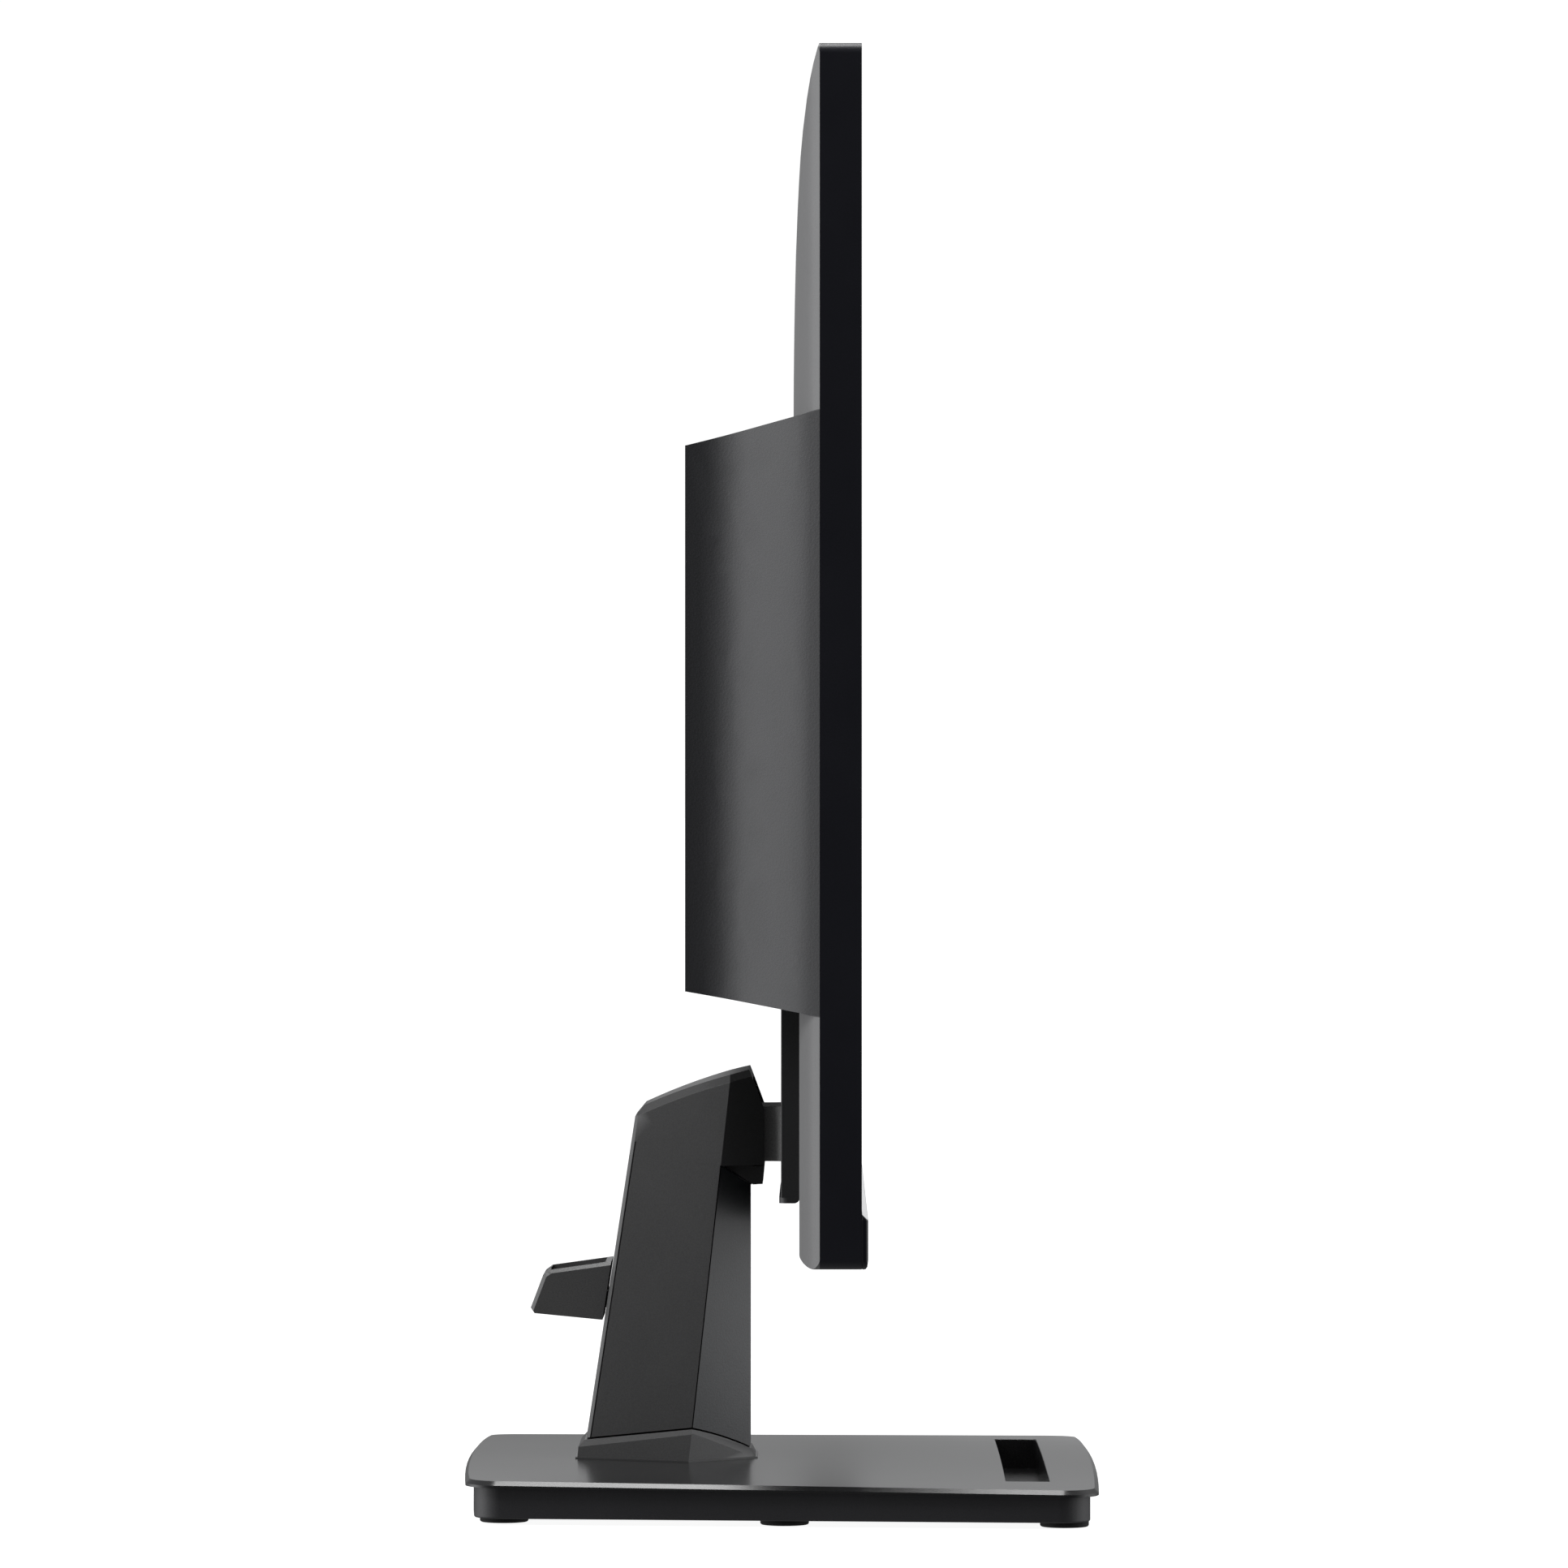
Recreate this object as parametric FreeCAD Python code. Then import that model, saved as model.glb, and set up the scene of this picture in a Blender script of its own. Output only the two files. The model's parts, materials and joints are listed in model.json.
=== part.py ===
# Desktop computer monitor on a tilting stand.
# Row frame: +Z up, the screen faces -Y, X runs along the width of the screen.
# Origin: centre of the base's footprint, on the surface that the rubber feet stand on. Millimetres.
import FreeCAD, Part
import os, math

V = FreeCAD.Vector
os.makedirs("parts", exist_ok=True)

# ---------------------------------------------------------------- driving dimensions
W = 613.0                 # display width
HW = W / 2.0
Z0, Z1 = 92.2, 456.2      # display bottom and top edge
YF, YB = -25.1, -12.6     # middle frame's front plane and rear plane
CHIN_Y = -27.0            # front plane of the bottom bezel
CHIN_Z, CHIN_ZB = 106.9, 108.7
FRAME_T = 1.9             # middle frame wall
CORNER_R = 3.2
DOME_TOP = 7.9            # depth of the upper back behind YB
DOME_LOW = 6.1            # depth of the lower back behind YB
HUMP_Y = 27.7             # rear plane of the electronics housing
HUMP_TOP = (347.3, 337.6)     # z at YB, z at HUMP_Y
HUMP_BOT = (167.3, 174.2)
COVER_T = 2.3             # rear cover wall
VESA = 100.0
VESA_Z = 253.0
AX_Y, AX_Z = 14.0, 121.05  # tilt axis, along X
PIN_R = 4.0
KNUCKLE_R = 8.0
NECK_T = 2.2              # neck shell wall
NECK_CH = 0.8             # bevel on the neck's rear corners
BASE_T = 2.2              # base cover thickness
LIP_CH = 1.35             # bevel round the base cover's top edge
CROWN = 1.4
CROWN_HALF = 113.0
BASE_SLOPE = 0.00712
BASE_EDGE_Z = 13.36       # top of the base at its long edges, at y = 0
SLOT_X, SLOT_Y0, SLOT_Y1, SLOT_Z = 94.0, -86.1, -72.2, 3.2
FOOT_R, FOOT_H = 7.8, 2.0


# ---------------------------------------------------------------- helpers
def box(x0, x1, y0, y1, z0, z1):
    return Part.makeBox(x1 - x0, y1 - y0, z1 - z0, V(x0, y0, z0))


def cyl(r, p, d, h):
    return Part.makeCylinder(r, h, V(*p), V(*d))


def ring(ro, ri, p, d, h):
    return cyl(ro, p, d, h).cut(cyl(ri, p, d, h))


def face_of(edges):
    return Part.Face(Part.Wire(edges))


def poly_face(pts):
    pts = [V(*p) for p in pts]
    return Part.Face(Part.makePolygon(pts + [pts[0]]))


def prism_x(yz, x0, x1):
    return poly_face([(x0, y, z) for y, z in yz]).extrude(V(x1 - x0, 0, 0))


def prism_z(xy, z0, z1):
    return poly_face([(x, y, z0) for x, y in xy]).extrude(V(0, 0, z1 - z0))


def prism_y(xz, y0, y1):
    return poly_face([(x, y0, z) for x, z in xz]).extrude(V(0, y1 - y0, 0))


def loft(polys):
    wires = []
    for pts in polys:
        pts = [V(*p) for p in pts]
        wires.append(Part.makePolygon(pts + [pts[0]]))
    return Part.makeLoft(wires, True, True)


def spline(pts, t0=None, t1=None):
    c = Part.BSplineCurve()
    pts = [V(*p) for p in pts]
    if t0 is None:
        c.interpolate(pts)
    else:
        c.interpolate(Points=pts, InitialTangent=V(*t0), FinalTangent=V(*t1))
    return c.toShape()


def seg(a, b):
    return Part.LineSegment(V(*a), V(*b)).toShape()


def rbox(x0, x1, y0, y1, z0, z1, r, axis="y"):
    """A box with the four edges along one axis rounded."""
    b = box(x0, x1, y0, y1, z0, z1)
    d = {"x": V(1, 0, 0), "y": V(0, 1, 0), "z": V(0, 0, 1)}[axis]
    es = [e for e in b.Edges if abs(abs((e.Vertexes[1].Point - e.Vertexes[0].Point).normalize().dot(d)) - 1) < 1e-6]
    return b.makeFillet(r, es)


def soften(shape, r, pick, kind="fillet", r2=None):
    """Rounds or chamfers the picked edges; leaves the shape alone if the kernel can't."""
    es = [e for e in shape.Edges if pick(e)]
    if not es:
        print("soften: nothing picked")
        return shape
    try:
        if kind == "fillet":
            out = shape.makeFillet(r, es)
        elif r2:
            out = shape.makeChamfer(r, r2, es)
        else:
            out = shape.makeChamfer(r, es)
        if out.isValid() and out.Volume > 0.5 * shape.Volume:
            return out
    except Exception as err:
        print("soften failed:", err)
        return shape
    print("soften gave a bad shape")
    return shape


def mid(e):
    return e.valueAt((e.FirstParameter + e.LastParameter) / 2.0)


def save(name, shape):
    solids = [s for s in shape.Solids if s.Volume > 0.01]
    if len(solids) == 1:
        out = solids[0]
    else:
        out = Part.makeCompound(solids)
    if not out.isValid():
        print("INVALID", name)
    out.exportStep("parts/%s.step" % name)
    print("%-20s solids %2d  volume %9.1f" % (name, len(solids), sum(s.Volume for s in solids)))
    return out


def fuse(first, *others):
    out = first.fuse(list(others))
    return out.removeSplitter()


def mirror_x(s):
    return s.mirror(V(0, 0, 0), V(1, 0, 0))


def compound(*shapes):
    return Part.makeCompound([s for s in shapes])


# ================================================================ DISPLAY
# ---- middle frame: the dark band round the panel
outer = rbox(-HW, HW, YF, YB, Z0, Z1, CORNER_R)
inner = box(-HW + FRAME_T, HW - FRAME_T, YF, YB, Z0 + FRAME_T, Z1 - FRAME_T)
mid_frame = outer.cut(inner)
# ledge that the panel tray is clipped against, from behind
ledge = box(-HW + FRAME_T - 0.5, HW - FRAME_T + 0.5, -17.9, -16.7, Z0 + FRAME_T - 0.5, Z1 - FRAME_T + 0.5).cut(
    box(-HW + 9.0, HW - 9.0, -17.9, -16.7, Z0 + 3.4, Z1 - 9.0))
mid_frame = fuse(mid_frame, ledge)
BTN_X = [196.0, 212.0, 228.0, 244.0, 266.0]
BTN_Y0, BTN_Y1 = -16.3, -13.5
for x in BTN_X:
    mid_frame = mid_frame.cut(box(x - 5.35, x + 5.35, BTN_Y0 - 0.35, BTN_Y1 + 0.35, Z0 - 1, Z0 + FRAME_T + 2))
save("mid_frame", mid_frame)

# ---- bottom bezel
chin = prism_x([(YF, Z0), (-26.2, Z0), (-26.75, Z0 + 0.9), (CHIN_Y, Z0 + 3.0), (CHIN_Y, CHIN_Z), (YF, CHIN_ZB)], -HW, HW)
chin = soften(chin, 1.0, lambda e: abs(abs(mid(e).x) - HW) < 1e-3 and abs(mid(e).y - CHIN_Y) < 1e-3 and Z0 + 4 < mid(e).z < CHIN_Z - 1)
chin = chin.common(rbox(-HW, HW, CHIN_Y - 5, YF + 5, Z0, Z1, CORNER_R))
LED_X, LED_Z = 284.0, 97.6
chin = chin.cut(box(LED_X - 3.2, LED_X + 3.2, CHIN_Y - 1, YF + 1, LED_Z - 0.7, LED_Z + 0.7))
save("front_chin", chin)
save("power_led_lens", rbox(LED_X - 3.1, LED_X + 3.1, CHIN_Y - 0.05, YF - 0.05, LED_Z - 0.6, LED_Z + 0.6, 0.4))

# ---- the panel module, front to back
PX = HW - FRAME_T - 0.2
PZ0, PZ1 = Z0 + 4.0, Z1 - FRAME_T - 0.2
save("lcd_glass", box(-PX, PX, -24.9, -23.7, PZ0, PZ1))
save("diffuser_films", box(-PX + 1.2, PX - 1.2, -23.6, -22.9, PZ0 + 4, PZ1 - 1.2))
save("light_guide", box(-PX + 1.4, PX - 1.4, -22.8, -19.9, PZ0 + 5, PZ1 - 1.4))
save("reflector_sheet", box(-PX + 1.4, PX - 1.4, -19.8, -19.6, PZ0 + 2, PZ1 - 1.4))
tray = box(-PX, PX, -23.6, -18.3, PZ0, PZ1).cut(box(-PX + 0.9, PX - 0.9, -23.6, -19.5, PZ0 + 0.9, PZ1 - 0.9))
for x in (-200, -100, 0, 100, 200):      # stiffening ribs pressed into the tray
    tray = fuse(tray, box(x - 4, x + 4, -18.4, -17.9, 130, 420))
save("panel_tray", tray)
led = [box(-PX + 4, PX - 4, -22.9, -20.0, PZ0 + 1.0, PZ0 + 2.2)]
led += [box(x - 2.5, x + 2.5, -22.4, -20.4, PZ0 + 2.2, PZ0 + 3.4) for x in range(-286, 287, 22)]
save("led_strip", compound(*led))
board = box(-150, 150, -17.7, -16.7, 104, 124)
chips = [box(x - 12, x + 12, -16.7, -15.3, 108, 118) for x in (-90, 0, 90)] + [box(128, 144, -16.7, -14.9, 112, 120)]
save("source_board", compound(board, *chips))

# ---- rear cover: thin upper and lower back with the electronics housing across the middle
DOME_YZ = [(0.15, 456.2), (1.97, 449.8), (3.45, 442.4), (4.5, 435.0), (5.35, 427.6), (6.35, 412.8), (7.05, 397.0), (7.5, 380.0), (7.8, 362.0), (7.9, 345.0)]
DOME_XY = [(306.5, 0.0), (304.3, 1.9), (300.0, 3.7), (294.0, 5.2), (286.0, 6.4), (276.0, 7.2), (264.0, 7.7), (250.0, 7.9)]
HUMP_XY = [(306.5, -12.6), (300.3, -3.6), (293.6, 3.7), (286.7, 11.1), (283.0, 17.2), (280.6, 27.7)]


def back_solid(t):
    """Outside shape of the rear cover, inset by t, from the frame's rear plane."""
    k = t
    # side silhouette, run along X
    pts = [(0, YB + max(d - k, -0.9 * (k > 0)), z - (k if z > 455 else 0.0)) for d, z in DOME_YZ]
    top = pts[0]
    e = [seg((0, YB - k, top[2]), top), spline(pts)]
    lowy = YB + DOME_LOW - k
    zb = Z0 + k
    e.append(seg(pts[-1], (0, pts[-1][1], 260.0)))
    e.append(seg((0, pts[-1][1], 260.0), (0, lowy, 250.0)))
    e.append(seg((0, lowy, 250.0), (0, lowy, zb + 3.8)))
    e.append(spline([(0, lowy, zb + 3.8), (0, lowy - 1.0, zb + 1.6), (0, lowy - 4.4, zb)], (0, 0, -1), (0, -1, -0.08)))
    e.append(seg((0, lowy - 4.4, zb), (0, YB - k, zb)))
    e.append(seg((0, YB - k, zb), (0, YB - k, top[2])))
    a = face_of(e).extrude(V(2 * HW + 40, 0, 0))
    a.translate(V(-HW - 20, 0, 0))
    # plan, run along Z
    right = [(x - k * (1.0 if x > 300 else 0.6), YB + d - k, 0) for x, d in DOME_XY]
    left = [(-x, y, 0) for x, y, z in right]
    e = [spline(right), seg(right[-1], left[-1]), spline(list(reversed(left)))]
    e += [seg(left[0], (left[0][0], YB - k - 1, 0)), seg((left[0][0], YB - k - 1, 0), (right[0][0], YB - k - 1, 0)),
          seg((right[0][0], YB - k - 1, 0), right[0])]
    b = face_of(e).extrude(V(0, 0, 500))
    shell = a.common(b)
    # the housing
    rx = [(x - 1.25 * k, y - (0.0 if y < 0 else 0.35 * k), 0) for x, y in HUMP_XY[:-1]] + [(HUMP_XY[-1][0] - 1.05 * k, HUMP_Y - k, 0)]
    if k:
        rx[0] = (rx[0][0], YB - 0.5 * k, 0)
    lx = [(-x, y, 0) for x, y, z in rx]
    e = [spline(rx, (-0.52, 1, 0), (-0.10, 1, 0)), seg(rx[-1], lx[-1]), spline(list(reversed(lx)), (-0.10, -1, 0), (-0.52, -1, 0)),
         seg(lx[0], (lx[0][0], YB - k - 1, 0)), seg((lx[0][0], YB - k - 1, 0), (rx[0][0], YB - k - 1, 0)), seg((rx[0][0], YB - k - 1, 0), rx[0])]
    c = face_of(e).extrude(V(0, 0, 500))
    mt = (HUMP_TOP[1] - HUMP_TOP[0]) / (HUMP_Y - YB)
    mb = (HUMP_BOT[1] - HUMP_BOT[0]) / (HUMP_Y - YB)
    ya, yb = YB - 10, HUMP_Y + 10
    wedge = prism_x([(ya, HUMP_BOT[0] + mb * (ya - YB) + k), (yb, HUMP_BOT[0] + mb * (yb - YB) + k),
                     (yb, HUMP_TOP[0] + mt * (yb - YB) - k), (ya, HUMP_TOP[0] + mt * (ya - YB) - k)], -400, 400)
    return shell.fuse(c.common(wedge)).removeSplitter()


full = back_solid(0.0)
full = full.common(rbox(-HW, HW, YB, 100, Z0, Z1, CORNER_R))
cave = back_solid(COVER_T)
rear_cover = full.cut(cave)
rear_cover = [s for s in rear_cover.Solids if s.Volume > 1000][0]
# locating lip that goes inside the middle frame
LIP_X, LIP_Z0, LIP_Z1 = HW - FRAME_T - 0.25, Z0 + FRAME_T + 0.25, Z1 - FRAME_T - 0.25
lip = box(-LIP_X, LIP_X, -15.2, YB + 0.9, LIP_Z0, LIP_Z1).cut(box(-LIP_X + 1.3, LIP_X - 1.3, -15.2, YB + 0.9, LIP_Z0 + 1.3, LIP_Z1 - 1.3))
lip = lip.cut(box(180, 280, -16, YB - 0.05, Z0, Z0 + 8))
outer_ring = box(-HW, HW, YB, YB + 0.9, Z0, Z1)
lip_in = lip.common(box(-400, 400, -20, YB + 0.9, 0, 500))
lip_ok = lip.common(box(-400, 400, -20, YB, 0, 500)).fuse(lip.common(full))
rear_cover = rear_cover.fuse(lip_ok).removeSplitter()


def bot_z(y):
    return HUMP_BOT[0] + (HUMP_BOT[1] - HUMP_BOT[0]) * (y - YB) / (HUMP_Y - YB)


def top_z(y):
    return HUMP_TOP[0] + (HUMP_TOP[1] - HUMP_TOP[0]) * (y - YB) / (HUMP_Y - YB)


cuts = []
# vents in the housing's top face
for i in range(-23, 24):
    if abs(i) % 8 == 4:
        continue
    x = i * 9.0
    cuts.append(box(x - 1.4, x + 1.4, 2.0, 19.0, 330, 352))
# vents in the bottom face
for i in range(-6, 7):
    for sx in (-1, 1):
        x = sx * 100 + i * 6.0
        if sx > 0:
            continue
        cuts.append(box(x + 18 - 1.2, x + 18 + 1.2, 18.6, 23.4, 160, 180)) if abs(i) < 6 else None
# speaker grilles in the bottom face
for sx in (-1, 1):
    for i in range(-9, 10):
        x = sx * 222 + i * 4.0
        cuts.append(box(x - 0.9, x + 0.9, -0.5, 13.5, 160, 182))
# opening that the tilt bracket and its cover come out of
cuts.append(box(-46.0, 46.0, -7.0, 1.1, 160, 182))
# sockets, seen from below
PORT_Y = -3.2
cuts.append(rbox(-163.0, -134.4, -5.2, 15.6, 160, 182, 2.0, "z"))          # mains inlet
cuts.append(rbox(70.6, 87.4, PORT_Y - 3.3, PORT_Y + 3.3, 160, 182, 1.0, "z"))  # video 1
cuts.append(rbox(98.0, 116.4, PORT_Y - 3.5, PORT_Y + 3.5, 160, 182, 1.0, "z"))  # video 2
cuts.append(cyl(3.7, (130.0, PORT_Y + 0.2, 160), (0, 0, 1), 22))             # audio
rear_cover = rear_cover.cut(cuts)
# mounting pattern, in a shallow square recess
rear_cover = rear_cover.cut(rbox(-64, 64, HUMP_Y - 0.8, HUMP_Y + 5, VESA_Z - 64, VESA_Z + 64, 6.0))
holes = [cyl(5.75, (sx * VESA / 2, 20, VESA_Z + sz * VESA / 2), (0, 1, 0), 15) for sx in (-1, 1) for sz in (-1, 1)]
rear_cover = rear_cover.cut(holes)
# blank label panel and cable-lock slot
rear_cover = rear_cover.cut(rbox(-214, -110, HUMP_Y - 0.25, HUMP_Y + 5, 205, 265, 3.0))
rear_cover = rear_cover.cut(rbox(190.0, 197.0, 20, HUMP_Y + 5, 196.0, 199.2, 1.2))
# screw wells along the lower back and in the housing
WELLS = [(-240, 110), (-80, 110), (80, 110), (240, 110)]
for x, z in WELLS:
    rear_cover = rear_cover.cut(cyl(3.6, (x, -8.0, z), (0, 1, 0), 10))
    rear_cover = rear_cover.cut(cyl(1.7, (x, -12, z), (0, 1, 0), 10))
WELLS2 = [(-265, 325), (265, 325), (-265, 186), (265, 186)]
for x, z in WELLS2:
    rear_cover = rear_cover.cut(cyl(3.6, (x, HUMP_Y - 1.5, z), (0, 1, 0), 10))
    rear_cover = rear_cover.cut(cyl(1.7, (x, HUMP_Y - 4, z), (0, 1, 0), 10))
rear_cover = [s for s in rear_cover.Solids if s.Volume > 1000][0]
save("rear_cover", rear_cover)

screws = []
for x, z in WELLS:
    screws.append(cyl(3.3, (x, -7.95, z), (0, 1, 0), 1.3).fuse(cyl(1.5, (x, -14.8, z), (0, 1, 0), 6.9)).cut(
        fuse(box(x - 2.0, x + 2.0, -7.2, -6, z - 0.35, z + 0.35), box(x - 0.35, x + 0.35, -7.2, -6, z - 2.0, z + 2.0))))
for x, z in WELLS2:
    y = HUMP_Y - 1.45
    screws.append(cyl(3.3, (x, y, z), (0, 1, 0), 1.3).fuse(cyl(1.5, (x, y - 9, z), (0, 1, 0), 9.1)).cut(
        fuse(box(x - 2.0, x + 2.0, y + 0.8, y + 2, z - 0.35, z + 0.35), box(x - 0.35, x + 0.35, y + 0.8, y + 2, z - 2.0, z + 2.0))))
save("cover_screws", compound(*[s.removeSplitter() for s in screws]))
label = rbox(-213.6, -110.4, HUMP_Y - 0.25, HUMP_Y - 0.1, 205.4, 264.6, 2.8)
save("rating_label", label)

# ---- steel mounting frame behind the panel, with the four threaded posts
mf = box(-140, 140, -16.6, -15.4, 178, 332)
for cx, cz, wx, wz in ((-98, 230, 50, 60), (98, 230, 50, 60), (0, 285, 60, 50)):
    mf = mf.cut(rbox(cx - wx / 2, cx + wx / 2, -18, -14, cz - wz / 2, cz + wz / 2, 4))
feet = [box(sx * 140 - (6 if sx > 0 else -0), sx * 140 + (0 if sx > 0 else 6), -17.85, -16.5, z, z + 10) for sx in (-1, 1) for z in (184, 316)]
posts = [cyl(5.5, (sx * VESA / 2, -15.5, VESA_Z + sz * VESA / 2), (0, 1, 0), 42.3) for sx in (-1, 1) for sz in (-1, 1)]
pads = [cyl(4.5, (sx * 26, -15.5, z), (0, 1, 0), 11.2) for sx in (-1, 1) for z in (187, 207)]
mf = fuse(mf, *(feet + posts + pads))
mf = mf.cut([cyl(2.0, (sx * VESA / 2, -2.0, VESA_Z + sz * VESA / 2), (0, 1, 0), 40) for sx in (-1, 1) for sz in (-1, 1)])
mf = mf.cut([cyl(1.6, (sx * 26, -14.0, z), (0, 1, 0), 20) for sx in (-1, 1) for z in (187, 207)])
save("mount_frame", mf)

# ---- power board and main board, with their sockets
pb = box(-168, -58, -8.0, -6.4, 186, 318)
parts = [pb,
         box(-120, -88, -6.4, 13.5, 222, 252),                         # transformer
         cyl(9.0, (-140, -6.4, 286), (0, 1, 0), 27),                   # main capacitor
         cyl(5.0, (-76, -6.4, 300), (0, 1, 0), 18), cyl(5.0, (-76, -6.4, 286), (0, 1, 0), 18), cyl(5.0, (-90, -6.4, 300), (0, 1, 0), 18),
         box(-112, -109, -6.4, 16, 262, 306),                          # heat sink
         box(-156, -138, -6.4, 9, 246, 262),                           # choke
         box(-84, -66, -6.4, 3.5, 198, 210),                           # output plug
         box(-160, -146, -6.4, 1.5, 222, 234)]
save("power_board", compound(*parts))
inlet = rbox(-162.6, -134.8, -5.0, 15.4, 168.0, 185.0, 1.8, "z").cut(rbox(-160.6, -136.8, -2.6, 13.0, 160.0, 181.5, 3.0, "z"))
inlet = inlet.common(box(-200, 0, -10, 30, 160, 190))
inlet = inlet.cut(prism_x([(-10, bot_z(-10) + 0.6), (30, bot_z(30) + 0.6), (30, 150), (-10, 150)], -200, -100))
save("mains_inlet", inlet)
pins = [box(-148.7 - 2, -148.7 + 2, 8.0, 9.6, 171.5, 181.4), box(-155.7 - 0.8, -155.7 + 0.8, 1.2, 5.2, 171.5, 181.4), box(-141.7 - 0.8, -141.7 + 0.8, 1.2, 5.2, 171.5, 181.4)]
save("inlet_pins", compound(*pins))
mb = box(60, 164, -8.0, -6.4, 186, 318)
parts = [mb, box(98, 126, -6.4, -3.8, 246, 274), box(138, 150, -6.4, -4.6, 250, 262), box(80, 90, -6.4, -4.8, 280, 292),
         box(70, 100, -6.4, -1.4, 300, 306), box(120, 150, -6.4, -1.4, 300, 306),
         cyl(3.2, (72, -6.4, 262), (0, 1, 0), 7), cyl(3.2, (72, -6.4, 252), (0, 1, 0), 7), cyl(3.2, (156, -6.4, 232), (0, 1, 0), 7)]
save("main_board", compound(*parts))


def socket(x0, x1, y0, y1, wall, tongue):
    """A metal-shelled socket whose mouth faces down, with its contact tongue as a second solid."""
    zt = 186.2
    zm = bot_z((y0 + y1) / 2) + 0.7
    shell = rbox(x0, x1, y0, y1, zm, zt, 0.9, "z").cut(box(x0 + wall, x1 - wall, y0 + wall, y1 - wall, zm - 1, zt - 3.0))
    t = box(x0 + wall + 2.0, x1 - wall - 2.0, (y0 + y1) / 2 + tongue[0], (y0 + y1) / 2 + tongue[1], zm + 2.5, zt - 3.0)
    return shell, t


s1, t1 = socket(71.4, 86.6, PORT_Y - 2.85, PORT_Y + 2.85, 0.55, (1.2, 2.0))
save("video_socket_a", compound(s1))
save("video_tongue_a", compound(t1))
s2, t2 = socket(98.9, 115.5, PORT_Y - 3.0, PORT_Y + 3.0, 0.6, (1.3, 2.1))
save("video_socket_b", compound(s2))
save("video_tongue_b", compound(t2))
jz = bot_z(PORT_Y) + 0.4
jack = fuse(box(126.2, 133.8, -6.3, 0.4, 172.4, 186.4), cyl(3.3, (130, PORT_Y + 0.2, jz), (0, 0, 1), 5.0))
jack = jack.cut(cyl(1.8, (130, PORT_Y + 0.2, 160), (0, 0, 1), 24))
save("audio_jack", jack)
shield = box(58.5, 166, -6.3, 8.4, 193, 322).cut(box(59.2, 165.3, -7, 7.7, 193.7, 321.3))
shield = shield.cut([cyl(2.2, (x, 7, z), (0, 1, 0), 3) for x in range(74, 156, 10) for z in (276, 286, 296, 306)])
save("board_shield", shield)
ribbon = fuse(box(96, 124, -9.6, -9.2, 124.0, 300), box(96, 124, -16.6, -9.2, 123.6, 124.0))
ribbon = fuse(box(96, 124, -9.5, -9.2, 130, 300), box(96, 124, -15.2, -9.2, 129.7, 130.0), box(96, 124, -15.2, -14.9, 119, 130.0))
save("panel_ribbon", ribbon)
bs = []
for x, z in ((-164, 190), (-62, 190), (-164, 314), (-62, 314), (64, 189), (160, 189), (64, 314), (160, 314)):
    bs.append(cyl(1.4, (x, -15.3, z), (0, 1, 0), 7.25) if abs(x) <= 140 else cyl(1.4, (x, -14, z), (0, 1, 0), 5.95))
bs = [cyl(2.6, (x, -6.35, z), (0, 1, 0), 1.2) for x, z in ((-164, 190), (-62, 190), (-164, 314), (-62, 314))] + [
    cyl(2.6, (x, -6.35, z), (0, 1, 0), 1.2) for x, z in ((62.5, 189.5), (160, 189.5))]
save("board_screws", compound(*bs))

# ---- speakers, firing down through the grilles
for name, sx in (("speaker_left", -1), ("speaker_right", 1)):
    b = box(sx * 222 - 36, sx * 222 + 36, -4.5, 17.5, 180.5, 212)
    b = b.cut(box(sx * 222 - 34, sx * 222 + 34, -2.8, 15.8, 178, 210))
    plate_ = box(sx * 222 - 33.9, sx * 222 + 33.9, -2.7, 15.7, 181, 182.6).cut(cyl(8.0, (sx * 222, 6.5, 178), (0, 0, 1), 8))
    cone = Part.makeCone(7.9, 3.0, 5.0, V(sx * 222, 6.5, 181.4)).cut(Part.makeCone(7.4, 2.5, 5.0, V(sx * 222, 6.5, 181.0)))
    magnet = cyl(7.5, (sx * 222, 6.5, 187.0), (0, 0, 1), 9)
    save(name, compound(b, plate_, cone, magnet))

# ---- keys under the bottom edge
names = ["menu_button_1", "menu_button_2", "menu_button_3", "menu_button_4", "power_button"]
for n, x in zip(names, BTN_X):
    cap = box(x - 5.0, x + 5.0, BTN_Y0, BTN_Y1, Z0 - 0.25, Z0 + FRAME_T + 0.6)
    cap = soften(cap, 0.4, lambda e: abs(mid(e).z - (Z0 - 0.25)) < 1e-6)
    cap = fuse(cap, box(x - 6.4, x + 6.4, BTN_Y0, BTN_Y1, Z0 + FRAME_T + 0.35, Z0 + FRAME_T + 1.1))
    save(n, cap)
kb = [box(184, 278, -16.5, -11.6, 101.0, 102.4)]
for x in BTN_X:
    kb.append(box(x - 3, x + 3, -16.4, -13.0, 98.0, 101.0).fuse(cyl(1.4, (x, -14.8, 96.35), (0, 0, 1), 1.8)).removeSplitter())
save("key_board", compound(*kb))

# ---- tilt bracket, its cover and the hinge cowl, all on the display side
br = rbox(-35, 35, -4.2, -1.6, 106, 214, 5.0)
tongue = box(-14, 14, -2.5, AX_Y, AX_Z - 2.6, AX_Z + 2.6)
br = fuse(br, tongue, cyl(KNUCKLE_R, (-15.5, AX_Y, AX_Z), (1, 0, 0), 31.0))
br = br.cut(cyl(PIN_R + 0.05, (-30, AX_Y, AX_Z), (1, 0, 0), 60))
br = br.cut([cyl(2.2, (sx * 26, -10, z), (0, 1, 0), 20) for sx in (-1, 1) for z in (187, 207)])
save("tilt_bracket", br)
CV_X, CV_Y0, CV_Y1, CV_Z0 = 45.0, -6.15, 0.0, 99.9
COWL_UP = 9.5             # hinge cowl's top above the tilt axis
cover = box(-CV_X, CV_X, CV_Y0, CV_Y1, CV_Z0, 173.0)
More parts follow.
